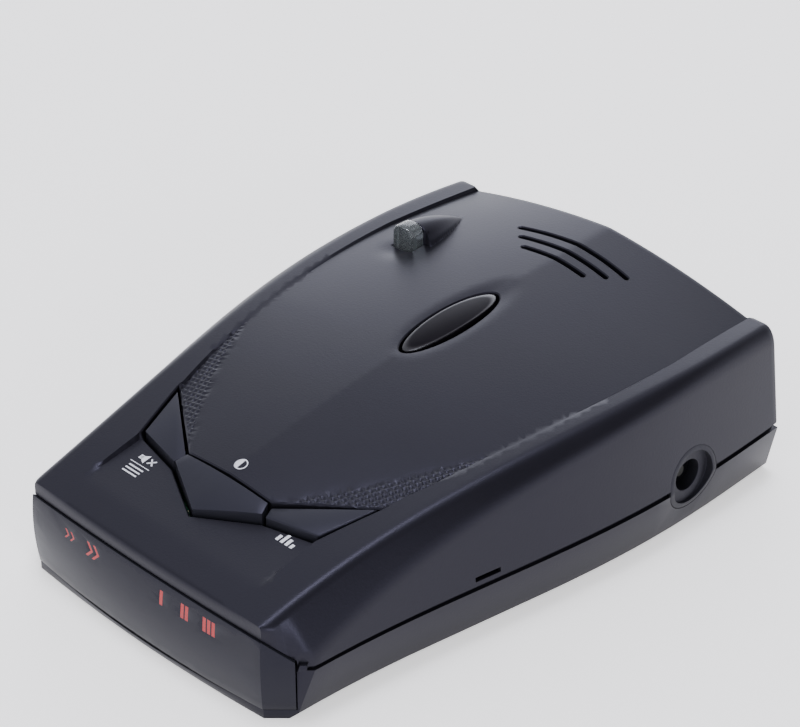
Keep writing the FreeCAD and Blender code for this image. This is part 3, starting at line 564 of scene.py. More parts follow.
def curve(start: Spot, corner: Spot, end: Spot, count: int) -> list[Spot]:
    """Return points that round a corner, from start to end.

    Args:
        start: where the curve starts.
        corner: the corner that it rounds.
        end: where it ends.
        count: how many points.

    Returns:
        The points.
    """
    points = []
    for share in spread(0.0, 1.0, count):
        near, far = (1 - share) ** 2, share ** 2
        middle = 2 * share * (1 - share)
        points.append(tuple(near * a + middle * b + far * c for a, b, c in zip(start, corner, end)))
    return points


def toward(start: Spot, end: Spot, distance: float) -> Spot:
    """Return the point at a distance from start on the way to end.

    Args:
        start: the first point.
        end: the other.
        distance: how far to go.

    Returns:
        The point.
    """
    share = distance / math.dist(start, end)
    return tuple(a + (b - a) * share for a, b in zip(start, end))


@dataclass(frozen=True)
class CaseForm:
    """The case's outer form in millimetres, by station from the display end."""

    length: float = 109.0
    front_reach: float = 2.15
    front_half: float = 33.2
    widest_half: float = 41.1
    widest_station: float = 84.0
    parting: float = 9.7
    seam: Spot = (0.45, 0.8)
    draft: float = math.radians(7.0)
    rail_front: float = 17.4
    rail_rise: float = 11.8
    rail_crest: float = 90.0
    rail_bend: float = 2.2
    rail_dip: float = 0.5
    rail_half: float = 27.8
    rail_gain: float = 9.6
    rail_tuck: float = 0.8
    rail_round: float = 1.1
    band_drop: Spot = (1.9, 5.9)
    band_run: float = 80.0
    panel_half: float = 21.3
    crown_start: float = 18.0
    crown_gain: float = 12.4
    crown_run: float = 70.0
    crown_bend: float = 1.9
    crown_edge: float = 0.3
    crown_arch: Spot = (0.416, 0.584)
    step_station: float = 57.0
    step_depths: tuple[float, float, float] = (0.7, 0.2, 0.65)
    ridge: Spot = (23.5, 9.8)
    ridge_mix: Spot = (0.4, 0.6)
    corner: float = 27.5
    corner_bite: float = 3.2
    lens_top: float = 15.05
    rear_round: float = 0.6

    def half_width(self, station: float) -> float:
        """Return the half width at the parting line.

        Args:
            station: the station.

        Returns:
            The half width.
        """
        if station < self.widest_station:
            gain = self.widest_half - self.front_half
            return self.front_half + gain * ease(station / self.widest_station)
        return self.widest_half - ((station - self.widest_station) / (self.length - self.widest_station)) ** 2

    def wall_x(self, station: float, height: float) -> float:
        """Return the half width of the drafted side wall at a height."""
        return self.half_width(station) - (height - self.parting) * math.tan(self.draft)

    def foot_z(self, station: float) -> float:
        """Return the height of the upper case's lower edge, over a groove that widens to the rear."""
        return self.parting + self.seam[0] + (self.seam[1] - self.seam[0]) * station / self.length

    def rail_z(self, station: float) -> float:
        """Return the height of the rails.

        Args:
            station: the station.

        Returns:
            The height.
        """
        if station < self.rail_crest:
            return self.rail_front + self.rail_rise * (1 - (1 - station / self.rail_crest) ** self.rail_bend)
        return self.rail_front + self.rail_rise - self.rail_dip * self.past_crest(station) ** 2

    def past_crest(self, station: float) -> float:
        """Return how far a station lies past the rails' crest, as a share of the rest."""
        return (station - self.rail_crest) / (self.length - self.rail_crest)

    def rail_x(self, station: float) -> float:
        """Return the half width of the rails' outer edge.

        Args:
            station: the station.

        Returns:
            The half width.
        """
        share = station / self.rail_crest
        if share < 1:
            return self.rail_half + self.rail_gain * (0.25 * share + 0.75 * ease(share))
        return self.rail_half + self.rail_gain - self.rail_tuck * self.past_crest(station) ** 2

    def band_z(self, station: float) -> float:
        """Return the height of the lower edge of the band outside the rails."""
        least, extra = self.band_drop
        return self.rail_z(station) - least - extra * max(0.0, 1 - station / self.band_run) ** 2

    def crown_x(self, station: float) -> float:
        """Return the half width of the crown.

        Args:
            station: the station.

        Returns:
            The half width.
        """
        share = (station - self.crown_start) / self.crown_run
        if share < 1:
            return self.panel_half + self.crown_gain * (1 - (1 - share) ** self.crown_bend)
        return self.panel_half + self.crown_gain - (share - 1) * 10 / 3

    def rail_step(self, station: float) -> float:
        """Return how far the crown's foot lies below the rail.

        Args:
            station: the station.

        Returns:
            The drop.
        """
        front, least, rear = self.step_depths
        ahead = station - self.step_station
        if ahead < 0:
            return least + front * (ahead / (self.step_station - self.crown_start)) ** 2
        return least + rear * ahead / (self.length - self.step_station)

    def ridge_z(self, station: float) -> float:
        """Return the height of the crown's centre line.

        Args:
            station: the station.

        Returns:
            The height.
        """
        run = (station - self.crown_start) / (self.length - self.crown_start)
        even, steep = self.ridge_mix
        return self.ridge[0] + self.ridge[1] * (even * run + steep * (1 - (1 - run) ** 3))

    def crown_z(self, x: float, station: float) -> float:
        """Return the height of the plain crown, two shallow arches with a faint ridge between them.

        Args:
            x: how far right it lies.
            station: its station.

        Returns:
            The height.
        """
        top, foot = self.ridge_z(station), self.rail_z(station) - self.rail_step(station)
        share = min(1.0, abs(x) / (self.crown_x(station) + self.crown_edge))
        return top - (top - foot) * (self.crown_arch[0] * share + self.crown_arch[1] * share ** 2)

    def front_bow(self, x: float, reach: float) -> float:
        """Return the station of the bulged front at a width."""
        return -reach * max(0.0, 1 - (x / self.corner) ** 2)

    def cut_corner(self, x: float, station: float) -> float:
        """Return a half width held behind the bevelled front corner, with a soft edge."""
        return x - math.log1p(math.exp(self.corner_bite * (x - self.corner - station))) / self.corner_bite

    def stations(self) -> list[float]:
        """Return the stations of the case's sections, close together at the front corners."""
        return spread(0.0, 6.0, 33) + spread(7.0, self.length - self.rear_round, 104)

    def place(self, point: Point) -> Vector:
        """Return a point in the frame's metres."""
        return Vector((point[0], point[1] - (self.length - self.front_reach) / 2, point[2])) * MM


FORM = CaseForm()


class Skin:
    """Faces gathered from several patches, in the case's millimetres, and joined into one piece."""

    def __init__(self) -> None:
        """Start with no faces."""
        self.mesh = bmesh.new()

    def patch(self, points: list[Point], faces: list[tuple[int, ...]]) -> None:
        """Add points and the faces between them.

        Args:
            points: the points.
            faces: each face's points, by number.
        """
        made = [self.mesh.verts.new(FORM.place(point)) for point in points]
        for face in faces:
            if len(set(face)) > 2:
                self.mesh.faces.new([made[index] for index in face])

    def grid(self, rows: list[list[Point]], closed: bool = False) -> None:
        """Add a patch of rows with the same number of points.

        Args:
            rows: the rows of points.
            closed: True where each row is a ring.
        """
        wide = len(rows[0])
        faces = []
        for row in range(len(rows) - 1):
            for index in range(wide if closed else wide - 1):
                after = (index + 1) % wide
                here, above = row * wide, (row + 1) * wide
                faces.append((here + index, here + after, above + after, above + index))
        self.patch([point for row in rows for point in row], faces)

    def piece(self, name: str, weld: float = 0.004) -> bpy.types.Object:
        """Join the patches and return them as a piece.

        Args:
            name: the piece's name.
            weld: how close points are joined, in millimetres.

        Returns:
            The piece, with its faces pointing outwards.
        """
        bmesh.ops.remove_doubles(self.mesh, verts=self.mesh.verts, dist=weld * MM)
        bmesh.ops.dissolve_degenerate(self.mesh, edges=self.mesh.edges, dist=weld * MM)
        bmesh.ops.recalc_face_normals(self.mesh, faces=self.mesh.faces)
        data = bpy.data.meshes.new(name)
        self.mesh.to_mesh(data)
        self.mesh.free()
        made = bpy.data.objects.new(name, data)
        bpy.context.collection.objects.link(made)
        return made


def outset(loop: list[Spot], distance: float) -> list[Spot]:
    """Return a closed plan loop moved outwards by a distance, with mitred corners.

    Args:
        loop: the loop.
        distance: how far; inwards where it is negative.

    Returns:
        The moved loop.
    """
    area = sum(a[0] * b[1] - b[0] * a[1] for a, b in zip(loop, loop[1:] + loop[:1]))
    turn = distance if area > 0 else -distance
    moved = []
    for before, spot, after in zip(loop[-1:] + loop[:-1], loop, loop[1:] + loop[:1]):
        into = Vector(spot) - Vector(before)
        away = Vector(after) - Vector(spot)
        sides = [Vector((edge.y, -edge.x)).normalized() for edge in (into, away)]
        miter = (sides[0] + sides[1]) / max(0.35, 1 + sides[0].dot(sides[1]))
        moved.append((spot[0] + miter.x * turn, spot[1] + miter.y * turn))
    return moved


def inside(spot: Spot, loop: list[Spot]) -> bool:
    """Return whether a spot lies inside a closed plan loop.

    Args:
        spot: the spot.
        loop: the loop.

    Returns:
        True inside.
    """
    odd = False
    for a, b in zip(loop, loop[1:] + loop[:1]):
        if (a[1] > spot[1]) != (b[1] > spot[1]):
            crossing = (b[0] - a[0]) * (spot[1] - a[1]) / (b[1] - a[1]) + a[0]
            odd = odd != (spot[0] < crossing)
    return odd


def divide(loop: list[Spot], step: float) -> list[Spot]:
    """Return a closed loop with points added so that none of its sides is longer than a step.

    Args:
        loop: the loop.
        step: the longest side.

    Returns:
        The divided loop.
    """
    points = []
    for a, b in zip(loop, loop[1:] + loop[:1]):
        count = max(1, math.ceil(math.dist(a, b) / step))
        points += [(a[0] + (b[0] - a[0]) * index / count, a[1] + (b[1] - a[1]) * index / count)
                   for index in range(count)]
    return points


@dataclass
class UpperCase:
    """Upper case: rails, wings, crown and brow, with every opening, in millimetres by station."""

    button_station: float = 68.4
    button_half: Spot = (3.7, 11.6)
    dish_half: float = 4.9
    dish_ends: Spot = (13.4, 17.5)
    dish_depth: float = 0.85
    pipe: Spot = (-24.7, 83.0)
    pipe_half: Spot = (2.42, 1.62)
    hood_start: float = 84.55
    hood_radius: float = 3.9
    hood_axis: float = 29.9
    hood_taper: Spot = (0.0455, 0.0222)
    scoop_depth: float = 0.5
    scoop_half: Spot = (2.6, 2.4)
    scoop_station: float = 80.4
    panel_rise: Spot = (18.0, 0.165)
    lip: float = 0.22
    lip_drop: float = 0.8
    ring_gap: float = 0.12
    well_depth: float = 2.6
    wall: float = 0.85
    fine: float = 0.21
    coarse: float = 1.3
    row_share: float = 0.87
    fine_hood: Point = (4.6, 82.0, 96.5)
    crease_stations: Spot = (5.3, 17.0)
    crown_line_start: float = 30.2
    ridge_stations: tuple[tuple[float, float, int], ...] = ((19.2, 56.0, 40), (80.9, 93.8, 12))
    rail_ease: float = 0.45
    scale_rows: float = 1.05
    scale_wide: float = 0.95
    scale_depth: float = 0.14
    scale_lean: float = 0.10
    scale_stations: Spot = (18.6, 57.0)
    scale_start: Spot = (12.4, 21.0)
    scale_gain: float = 18.5
    scale_bend: float = 1.55
    notch_end: float = 3.76
    foot_lip: float = 0.9
    louvres: tuple[Spot, ...] = ((60.5, 12.5), (57.5, 10.0), (54.5, 7.0))
    louvre_half: float = 0.45
    louvre_station: float = 40.0
    jack: Point = (40.9, 85.5, 10.4)
    jack_radius: float = 5.92
    jack_depth: float = 8.0
    window: Point = (38.0, 40.2, 11.5)
    window_size: Point = (12.0, 5.0, 0.85)
    wheel_place: Point = (-30.3, 48.0, 10.7)
    wheel_radius: float = 9.4
    wheel_depth: float = 3.8
    slot_half: float = 10.25
    slot_heights: Spot = (20.6, 22.8)
    eye: Spot = (-25.5, 15.0)
    eye_radius: float = 4.6
    rear_lip: float = 0.3
    rear_depths: Spot = (0.2, 2.2)
    rear_steps: tuple[Spot, ...] = ((0.12, 0.32), (0.35, 0.5), (0.7, 0.6))
    brow_steps: tuple[Spot, ...] = ((0.0, 0.0), (0.16, 0.04), (0.36, 0.13), (0.55, 0.30), (0.62, 0.55),
                                    (0.62, 1.0))
    brow_depth: float = 1.2

    def build(self) -> None:
        """Make the case's skin, give it its wall and dress it."""
        skin = Skin()
        self.lay_top(skin)
        for side in (1, -1):
            self.raise_side(skin, side)
        self.hang_brow(skin)
        self.close_rear(skin)
        piece = skin.piece("upper_case_skin")
        Bench.modify(piece, "SOLIDIFY", thickness=self.wall * MM, offset=-1.0, use_even_offset=False)
        self.open_sides(piece)
        Bench.smooth(piece, 32.0)
        Bench.hand_over(piece, "case_body", "case_black", Shelf.case_black.value, "upper_case")

    def open_sides(self, piece: bpy.types.Object) -> None:
        """Cut the jack's hole, the snap window and the thumbwheel's slot through the sides.

        Args:
            piece: the case with its wall.
        """
        bpy.ops.mesh.primitive_cylinder_add(vertices=96, radius=self.jack_radius * MM,
                                            depth=self.jack_depth * MM, location=FORM.place(self.jack),
                                            rotation=(0, math.pi / 2, 0))
        Bench.carve(piece, bpy.context.object)
        bpy.ops.mesh.primitive_cube_add(size=1.0, location=FORM.place(self.window),
                                        scale=[edge * MM for edge in self.window_size])
        Bench.carve(piece, bpy.context.object)
        bpy.ops.mesh.primitive_cylinder_add(vertices=96, radius=self.wheel_radius * MM,
                                            depth=self.wheel_depth * MM,
                                            location=FORM.place(self.wheel_place))
        Bench.carve(piece, bpy.context.object)

    def key_loop(self) -> list[Spot]:
        """Return the outline of the well around the three keys."""
        half = [(0.0, 9.7), (10.8, 15.4), (21.3, 17.7), (24.9, 29.2), (9.9, 18.4)]
        return half + [(-x, y) for x, y in reversed(half[1:])]

    def button_loop(self) -> list[Spot]:
        """Return the outline of the release button's opening.

        Returns:
            The closed loop.
        """
        turns = spread(0.0, math.tau, 81)[:-1]
        wide, deep = self.button_half
        return [(wide * math.cos(turn), self.button_station + deep * math.sin(turn)) for turn in turns]

    def pipe_loop(self) -> list[Spot]:
        """Return the outline of the light pipe's opening."""
        (x, y), (wide, deep) = self.pipe, self.pipe_half
        return [(x - wide, y - deep), (x + wide, y - deep), (x + wide, y + deep), (x - wide, y + deep)]

    def louvre_loop(self, radius: float, half: float) -> list[Spot]:
        """Return the outline of one curved sound slot with rounded ends.

        Args:
            radius: its radius about the louvres' middle.
            half: half its width across.

        Returns:
            The closed loop.
        """
        lean = math.asin(half / radius)
        wide, middle = self.louvre_half, self.louvre_station

        def arc(reach: float, start: float, end: float) -> list[Spot]:
            """Return an arc about the louvres' middle."""
            turns = spread(start, end, 25)
            return [(reach * math.sin(turn), middle + reach * math.cos(turn)) for turn in turns]

        tip = []
        for bend in spread(0.5, 2.6, 4):
            reach, over = radius + wide * math.cos(bend), wide * math.sin(bend)
            tip.append((reach * math.sin(lean) + over * math.cos(lean),
                        middle + reach * math.cos(lean) - over * math.sin(lean)))
        other = [(-x, y) for x, y in reversed(tip)]
        return arc(radius + wide, -lean, lean) + tip + arc(radius - wide, lean, -lean) + other

    def scale_edge(self, station: float) -> float:
        """Return the half width where the scale pattern ends towards the middle.

        Args:
            station: the station.

        Returns:
            The half width, or infinity where there are no scales.
        """
        first, last = self.scale_stations
        if not first <= station <= last:
            return math.inf
        share = (station - self.scale_start[1]) / (last - self.scale_start[1])
        return self.scale_start[0] + self.scale_gain * (1 - (1 - share) ** self.scale_bend)

    def in_scales(self, x: float, station: float, margin: float = 0.0) -> bool:
        """Return whether a spot lies in one of the two crescents of scales."""
        low, high = self.scale_edge(station), FORM.crown_x(station) - 0.25
        return high - low > 0.35 and low + margin < abs(x) < high - margin

    def scales(self, x: float, station: float) -> float:
        """Return how deep the moulded scales go at a spot.

        Args:
            x: how far right it lies.
            station: its station.

        Returns:
            The depth.
        """
        if not self.in_scales(x, station):
            return 0.0
        row = (station + self.scale_lean * abs(x)) / self.scale_rows
        shift = 0.5 * (math.floor(row) % 2)
        along = (abs(x) / self.scale_wide + shift) % 1.0 - 0.5
        across = row % 1.0 - 0.45
        hollow = max(0.0, 1 - (along / 0.44) ** 2 - (across / 0.36) ** 2)
        fade = min(1.0, (FORM.crown_x(station) - self.scale_edge(station)) / 1.5)
        return self.scale_depth * fade * min(1.0, 1.6 * hollow)

    def dish(self, x: float, station: float) -> float:
        """Return the depth of the bowl around the release button.

        Args:
            x: how far right it lies.
            station: its station.

        Returns:
            The depth.
        """
        ahead = station - self.button_station
        reach = self.dish_ends[1] if ahead > 0 else self.dish_ends[0]
        share = (x / self.dish_half) ** 2 + (ahead / reach) ** 2
        return self.dish_depth * max(0.0, 1 - share) ** 1.3

    def hood(self, x: float, station: float) -> float:
        """Return the height of the pointed hood behind the light pipe.

        Args:
            x: how far right it lies.
            station: its station.

        Returns:
            The height, or 0 beside it.
        """
        run = station - self.hood_start
        radius = self.hood_radius - self.hood_taper[0] * run - self.hood_taper[1] * run ** 2
        off = x - self.pipe[0] - 0.2
        if run < -0.02 or radius <= 0 or abs(off) >= radius:
            return 0.0
        return self.hood_axis + math.sqrt(radius ** 2 - off ** 2)

    def scoop(self, x: float, station: float) -> float:
        """Return the depth of the soft scoop in front of the light pipe.

        Args:
            x: how far right it lies.
            station: its station.

        Returns:
            The depth.
        """
        across = (x - self.pipe[0]) / self.scoop_half[0]
        along = (station - self.scoop_station) / self.scoop_half[1]
        return self.scoop_depth * math.exp(-across ** 2 - along ** 2)

    def top_z(self, x: float, station: float) -> float:
        """Return the height of the top anywhere between the rails' outer edges.

        Args:
            x: how far right it lies.
            station: its station.

        Returns:
            The height.
        """
        rail = FORM.rail_z(station)
        if station < FORM.crown_start:
            edge = FORM.panel_half
            low = min(rail, self.panel_rise[0] + self.panel_rise[1] * station)
        else:
            edge = FORM.crown_x(station)
            plain = FORM.crown_z(x, station) - self.dish(x, station) - self.scoop(x, station)
            low = max(plain, self.hood(x, station)) - self.scales(x, station)
        return rail + (low - rail) * ease((edge - abs(x)) / self.rail_ease)

    def lay_top(self, skin: Skin) -> None:
        """Lay the top between the rails' rounded edges, with the wells of its openings.

        Args:
            skin: the case's faces.
        """
        edge = [(FORM.cut_corner(FORM.rail_x(y) - FORM.rail_round, y), y) for y in FORM.stations()]
        (front, _), (rear, end) = edge[0], edge[-1]
        rim = edge + [(x, end) for x in spread(rear, -rear, 60)[1:-1]]
        rim += [(-x, y) for x, y in reversed(edge)] + [(x, 0.0) for x in spread(-front, front, 60)[1:-1]]
        holes = [divide(self.key_loop(), 1.0), self.button_loop(), divide(self.pipe_loop(), 0.5)]
        holes += [self.louvre_loop(radius, half) for radius, half in self.louvres]
        spots, chains = [], []
        for loop in [rim] + holes + [outset(hole, self.lip) for hole in holes]:
            start = len(spots)
            spots += loop
            chains += [(start + index, start + (index + 1) % len(loop)) for index in range(len(loop))]
        for offset in (0.0, self.rail_ease):
            for side in (1, -1):
                crease = [(side * (FORM.panel_half - offset), y) for y in spread(*self.crease_stations, 14)]
                for line in (self.crown_line(offset, side), crease):
                    start = len(spots)
                    spots += line
                    chains += [(start + index, start + index + 1) for index in range(len(line) - 1)]
        spots += [(0.0, y) for run in self.ridge_stations for y in spread(*run)]
        spots += self.fill_spots([outset(hole, self.lip + self.ring_gap) for hole in holes])
        points, faces = self.triangulate(spots, chains, rim, holes)
        sunk = self.lip * self.lip_drop
        heights = []
        for x, y in points:
            drop = sunk if any(self.on_loop((x, y), hole) for hole in holes) else 0.0
            heights.append((x, y, self.top_z(x, y) - drop))
        skin.patch(heights, faces)
        for hole in holes:
            skin.grid([[(x, y, self.top_z(x, y) - sunk - depth) for x, y in hole]
                       for depth in (0.0, 0.15, self.well_depth)], closed=True)

    def crown_line(self, offset: float, side: int) -> list[Spot]:
        """Return the line along the crown's foot, or beside it at an offset."""
        run = spread(self.crown_line_start, FORM.length - 0.7, 110)
        return [(side * (FORM.crown_x(y) - offset), y) for y in run]

    def on_loop(self, spot: Spot, loop: list[Spot]) -> bool:
        """Return whether a spot is one of a loop's points."""
        return any(abs(spot[0] - x) < 1e-4 and abs(spot[1] - y) < 1e-4 for x, y in loop)

    def fill_spots(self, rings: list[list[Spot]]) -> list[Spot]:
        """Return the spots between the lines: close together on the scales and the hood, wider elsewhere.

        Args:
            rings: the loops around the openings, which stay empty.

        Returns:
            The spots, in rows.
        """
        spots = []
        for wide, step in ((True, self.coarse), (False, self.fine)):
            y, row = 0.4, 0
            while y < FORM.length - 1.0:
                x = -40.0 + (row % 2) * step / 2
                while x < 40.0:
                    if self.is_small(x, y) != wide and self.is_free(x, y, rings):
                        spots.append((x, y))
                    x += step
                y += step * self.row_share
                row += 1
        return spots

    def is_small(self, x: float, station: float) -> bool:
        """Return whether a spot lies where the relief is fine."""
        half, first, last = self.fine_hood
        return self.in_scales(x, station, 0.1) or (abs(x - self.pipe[0]) < half and first < station < last)

    def is_free(self, x: float, station: float, rings: list[list[Spot]]) -> bool:
        """Return whether a spot is clear of the edges, the creases and the openings.

        Args:
            x: how far right it lies.
            station: its station.
            rings: the loops around the openings.

        Returns:
            True where a point can go.
        """
        if abs(x) >= FORM.rail_x(station) - 1.3 or abs(x) >= FORM.corner + station - 0.3 or abs(x) <= 0.1:
            return False
        beside = abs(x) - FORM.crown_x(station)
        if station > 29 and min(abs(beside), abs(beside + 0.3)) <= 0.14:
            return False
        return not any(inside((x, station), ring) for ring in rings)

    def triangulate(self, spots: list[Spot], chains: list[tuple[int, int]], rim: list[Spot],
                    holes: list[list[Spot]]) -> tuple[list[Spot], list[tuple[int, ...]]]:
        """Join spots into triangles that keep to the chains.

        Args:
            spots: the plan spots.
            chains: pairs of spots that stay joined.
            rim: the outer loop.
            holes: the loops that stay open.

        Returns:
            The points and the triangles between them.
        """
        result = delaunay_2d_cdt([Vector(spot) for spot in spots], chains, [], 0, 1e-5)
        points = [tuple(point) for point in result[0]]
        faces = []
        for face in result[2]:
            middle = tuple(sum(points[index][axis] for index in face) / 3 for axis in (0, 1))
            if inside(middle, rim) and not any(inside(middle, hole) for hole in holes):
                faces.append(tuple(face))
        return points, faces

    def side_profile(self, station: float) -> list[Spot]:
        """Return one side's profile at a station, from the rail's top down to the parting line.

        Args:
            station: the station.

        Returns:
            Half widths and heights.
        """
        rail = (FORM.rail_x(station), FORM.rail_z(station))
        low = FORM.band_z(station)
        fold = (FORM.wall_x(station, low), low)
        foot = (FORM.wall_x(station, FORM.foot_z(station)), FORM.foot_z(station))
        reach = min(1.5, 0.45 * math.dist(rail, fold))
        over = curve((rail[0] - FORM.rail_round, rail[1]), rail, toward(rail, fold, reach), 7)
        bend = curve(toward(fold, rail, reach), fold, toward(fold, foot, 1.6), 7)
        (x, z), lip = bend[-1], foot[0] - self.foot_lip
        wall = [(x + (foot[0] - x) * share, z + (foot[1] - z) * share) for share in spread(0.0, 1.0, 6)[1:]]
        return over + bend + wall + [(lip, foot[1]), (lip, FORM.parting)]

    def raise_side(self, skin: Skin, side: int) -> None:
        """Raise one rail edge, band and wall, cut off by the corner's bevel and the lens's notch.

        Args:
            skin: the case's faces.
            side: 1 on the right, -1 on the left.
        """
        rows = []
        for station in FORM.stations():
            notch = FORM.lens_top - station if station < self.notch_end else 0.0
            rows.append([(side * FORM.cut_corner(x, station), station, max(z, notch))
                         for x, z in self.side_profile(station)])
        skin.grid(rows)

    def hang_brow(self, skin: Skin) -> None:
        """Round the front edge of the panel over and down to the lens.

        Args:
            skin: the case's faces.
        """
        side = [(FORM.cut_corner(x, 0.0), z) for x, z in self.side_profile(0.0)[:7]]
        middle = [(x, self.top_z(x, 0.0)) for x in spread(-side[0][0], side[0][0], 60)[1:-1]]
        top = [(-x, z) for x, z in reversed(side)] + middle + side
        rows = []
        for reach, share in self.brow_steps:
            rows.append([(x, FORM.front_bow(x, reach), z - (z - FORM.lens_top) * share) for x, z in top])
        rows.append([(x, self.brow_depth, FORM.lens_top) for x, _ in top])
        skin.grid(rows)

    def close_rear(self, skin: Skin) -> None:
        """Round the windshield end over and close it, around the bracket's slot and the laser lens.

        Args:
            skin: the case's faces.
        """
        end = FORM.length - FORM.rear_round
        half = FORM.rail_x(end) - FORM.rail_round
        right = self.side_profile(end)[1:-2]
        over = [(x, self.top_z(x, end)) for x in spread(-half, half, 60)]
        loop = over + right + [(-x, z) for x, z in reversed(right)]
        rings = [[(x, end, z) for x, z in loop]]
        for inset, ahead in self.rear_steps:
            moved = outset(loop, -inset)
            rings.append([(x, end + ahead, max(z, FORM.foot_z(FORM.length))) for x, z in moved])
        skin.grid(rings, closed=True)
        rim = [(x, z) for x, _, z in rings[-1]]
        wide, (low, high) = self.slot_half, self.slot_heights
        slot = [(-wide, low), (wide, low), (wide, high), (-wide, high)]
        (x, z), radius = self.eye, self.eye_radius
        turns = spread(0.0, math.tau, 49)[:-1]
        eye = [(x + radius * math.cos(turn), z + radius * math.sin(turn)) for turn in turns]
        spots, chains = [], []
        for chain in (rim, slot, eye, outset(slot, self.rear_lip), outset(eye, self.rear_lip)):
            start = len(spots)
            spots += chain
            chains += [(start + index, start + (index + 1) % len(chain)) for index in range(len(chain))]
        points, faces = self.triangulate(spots, chains, rim, [slot, eye])
        shallow, deep = self.rear_depths
        skin.patch([(x, FORM.length - (shallow if self.on_loop((x, z), slot + eye) else 0.0), z)
                    for x, z in points], faces)
        for chain in (slot, eye):
            rows = [[(x, FORM.length - depth, z) for x, z in chain] for depth in (shallow, deep)]
            skin.grid(rows, closed=True)


@dataclass
class Softened:
    """Nodes that keep their form and have their edges rounded, by a width in millimetres."""

    nodes: tuple[str, ...] = ()
    edge: float = 0.2
    finish: Finish | None = None

    def build(self) -> None:
        """Round the nodes' edges."""
        for node in self.nodes:
            Bench.soften(node, self.edge, self.finish)


@dataclass
class LowerCase(Softened):
    """Tray under the parting line."""

    nodes: tuple[str, ...] = ("lower_case",)
    edge: float = 0.3


@dataclass
class DisplayFront(Softened):
    """Smoked window across the front."""

    nodes: tuple[str, ...] = ("display_lens",)


@dataclass
class Keys(Softened):
    """The three keys in their well."""

    nodes: tuple[str, ...] = ("left_key", "centre_key", "right_key")
    edge: float = 0.25


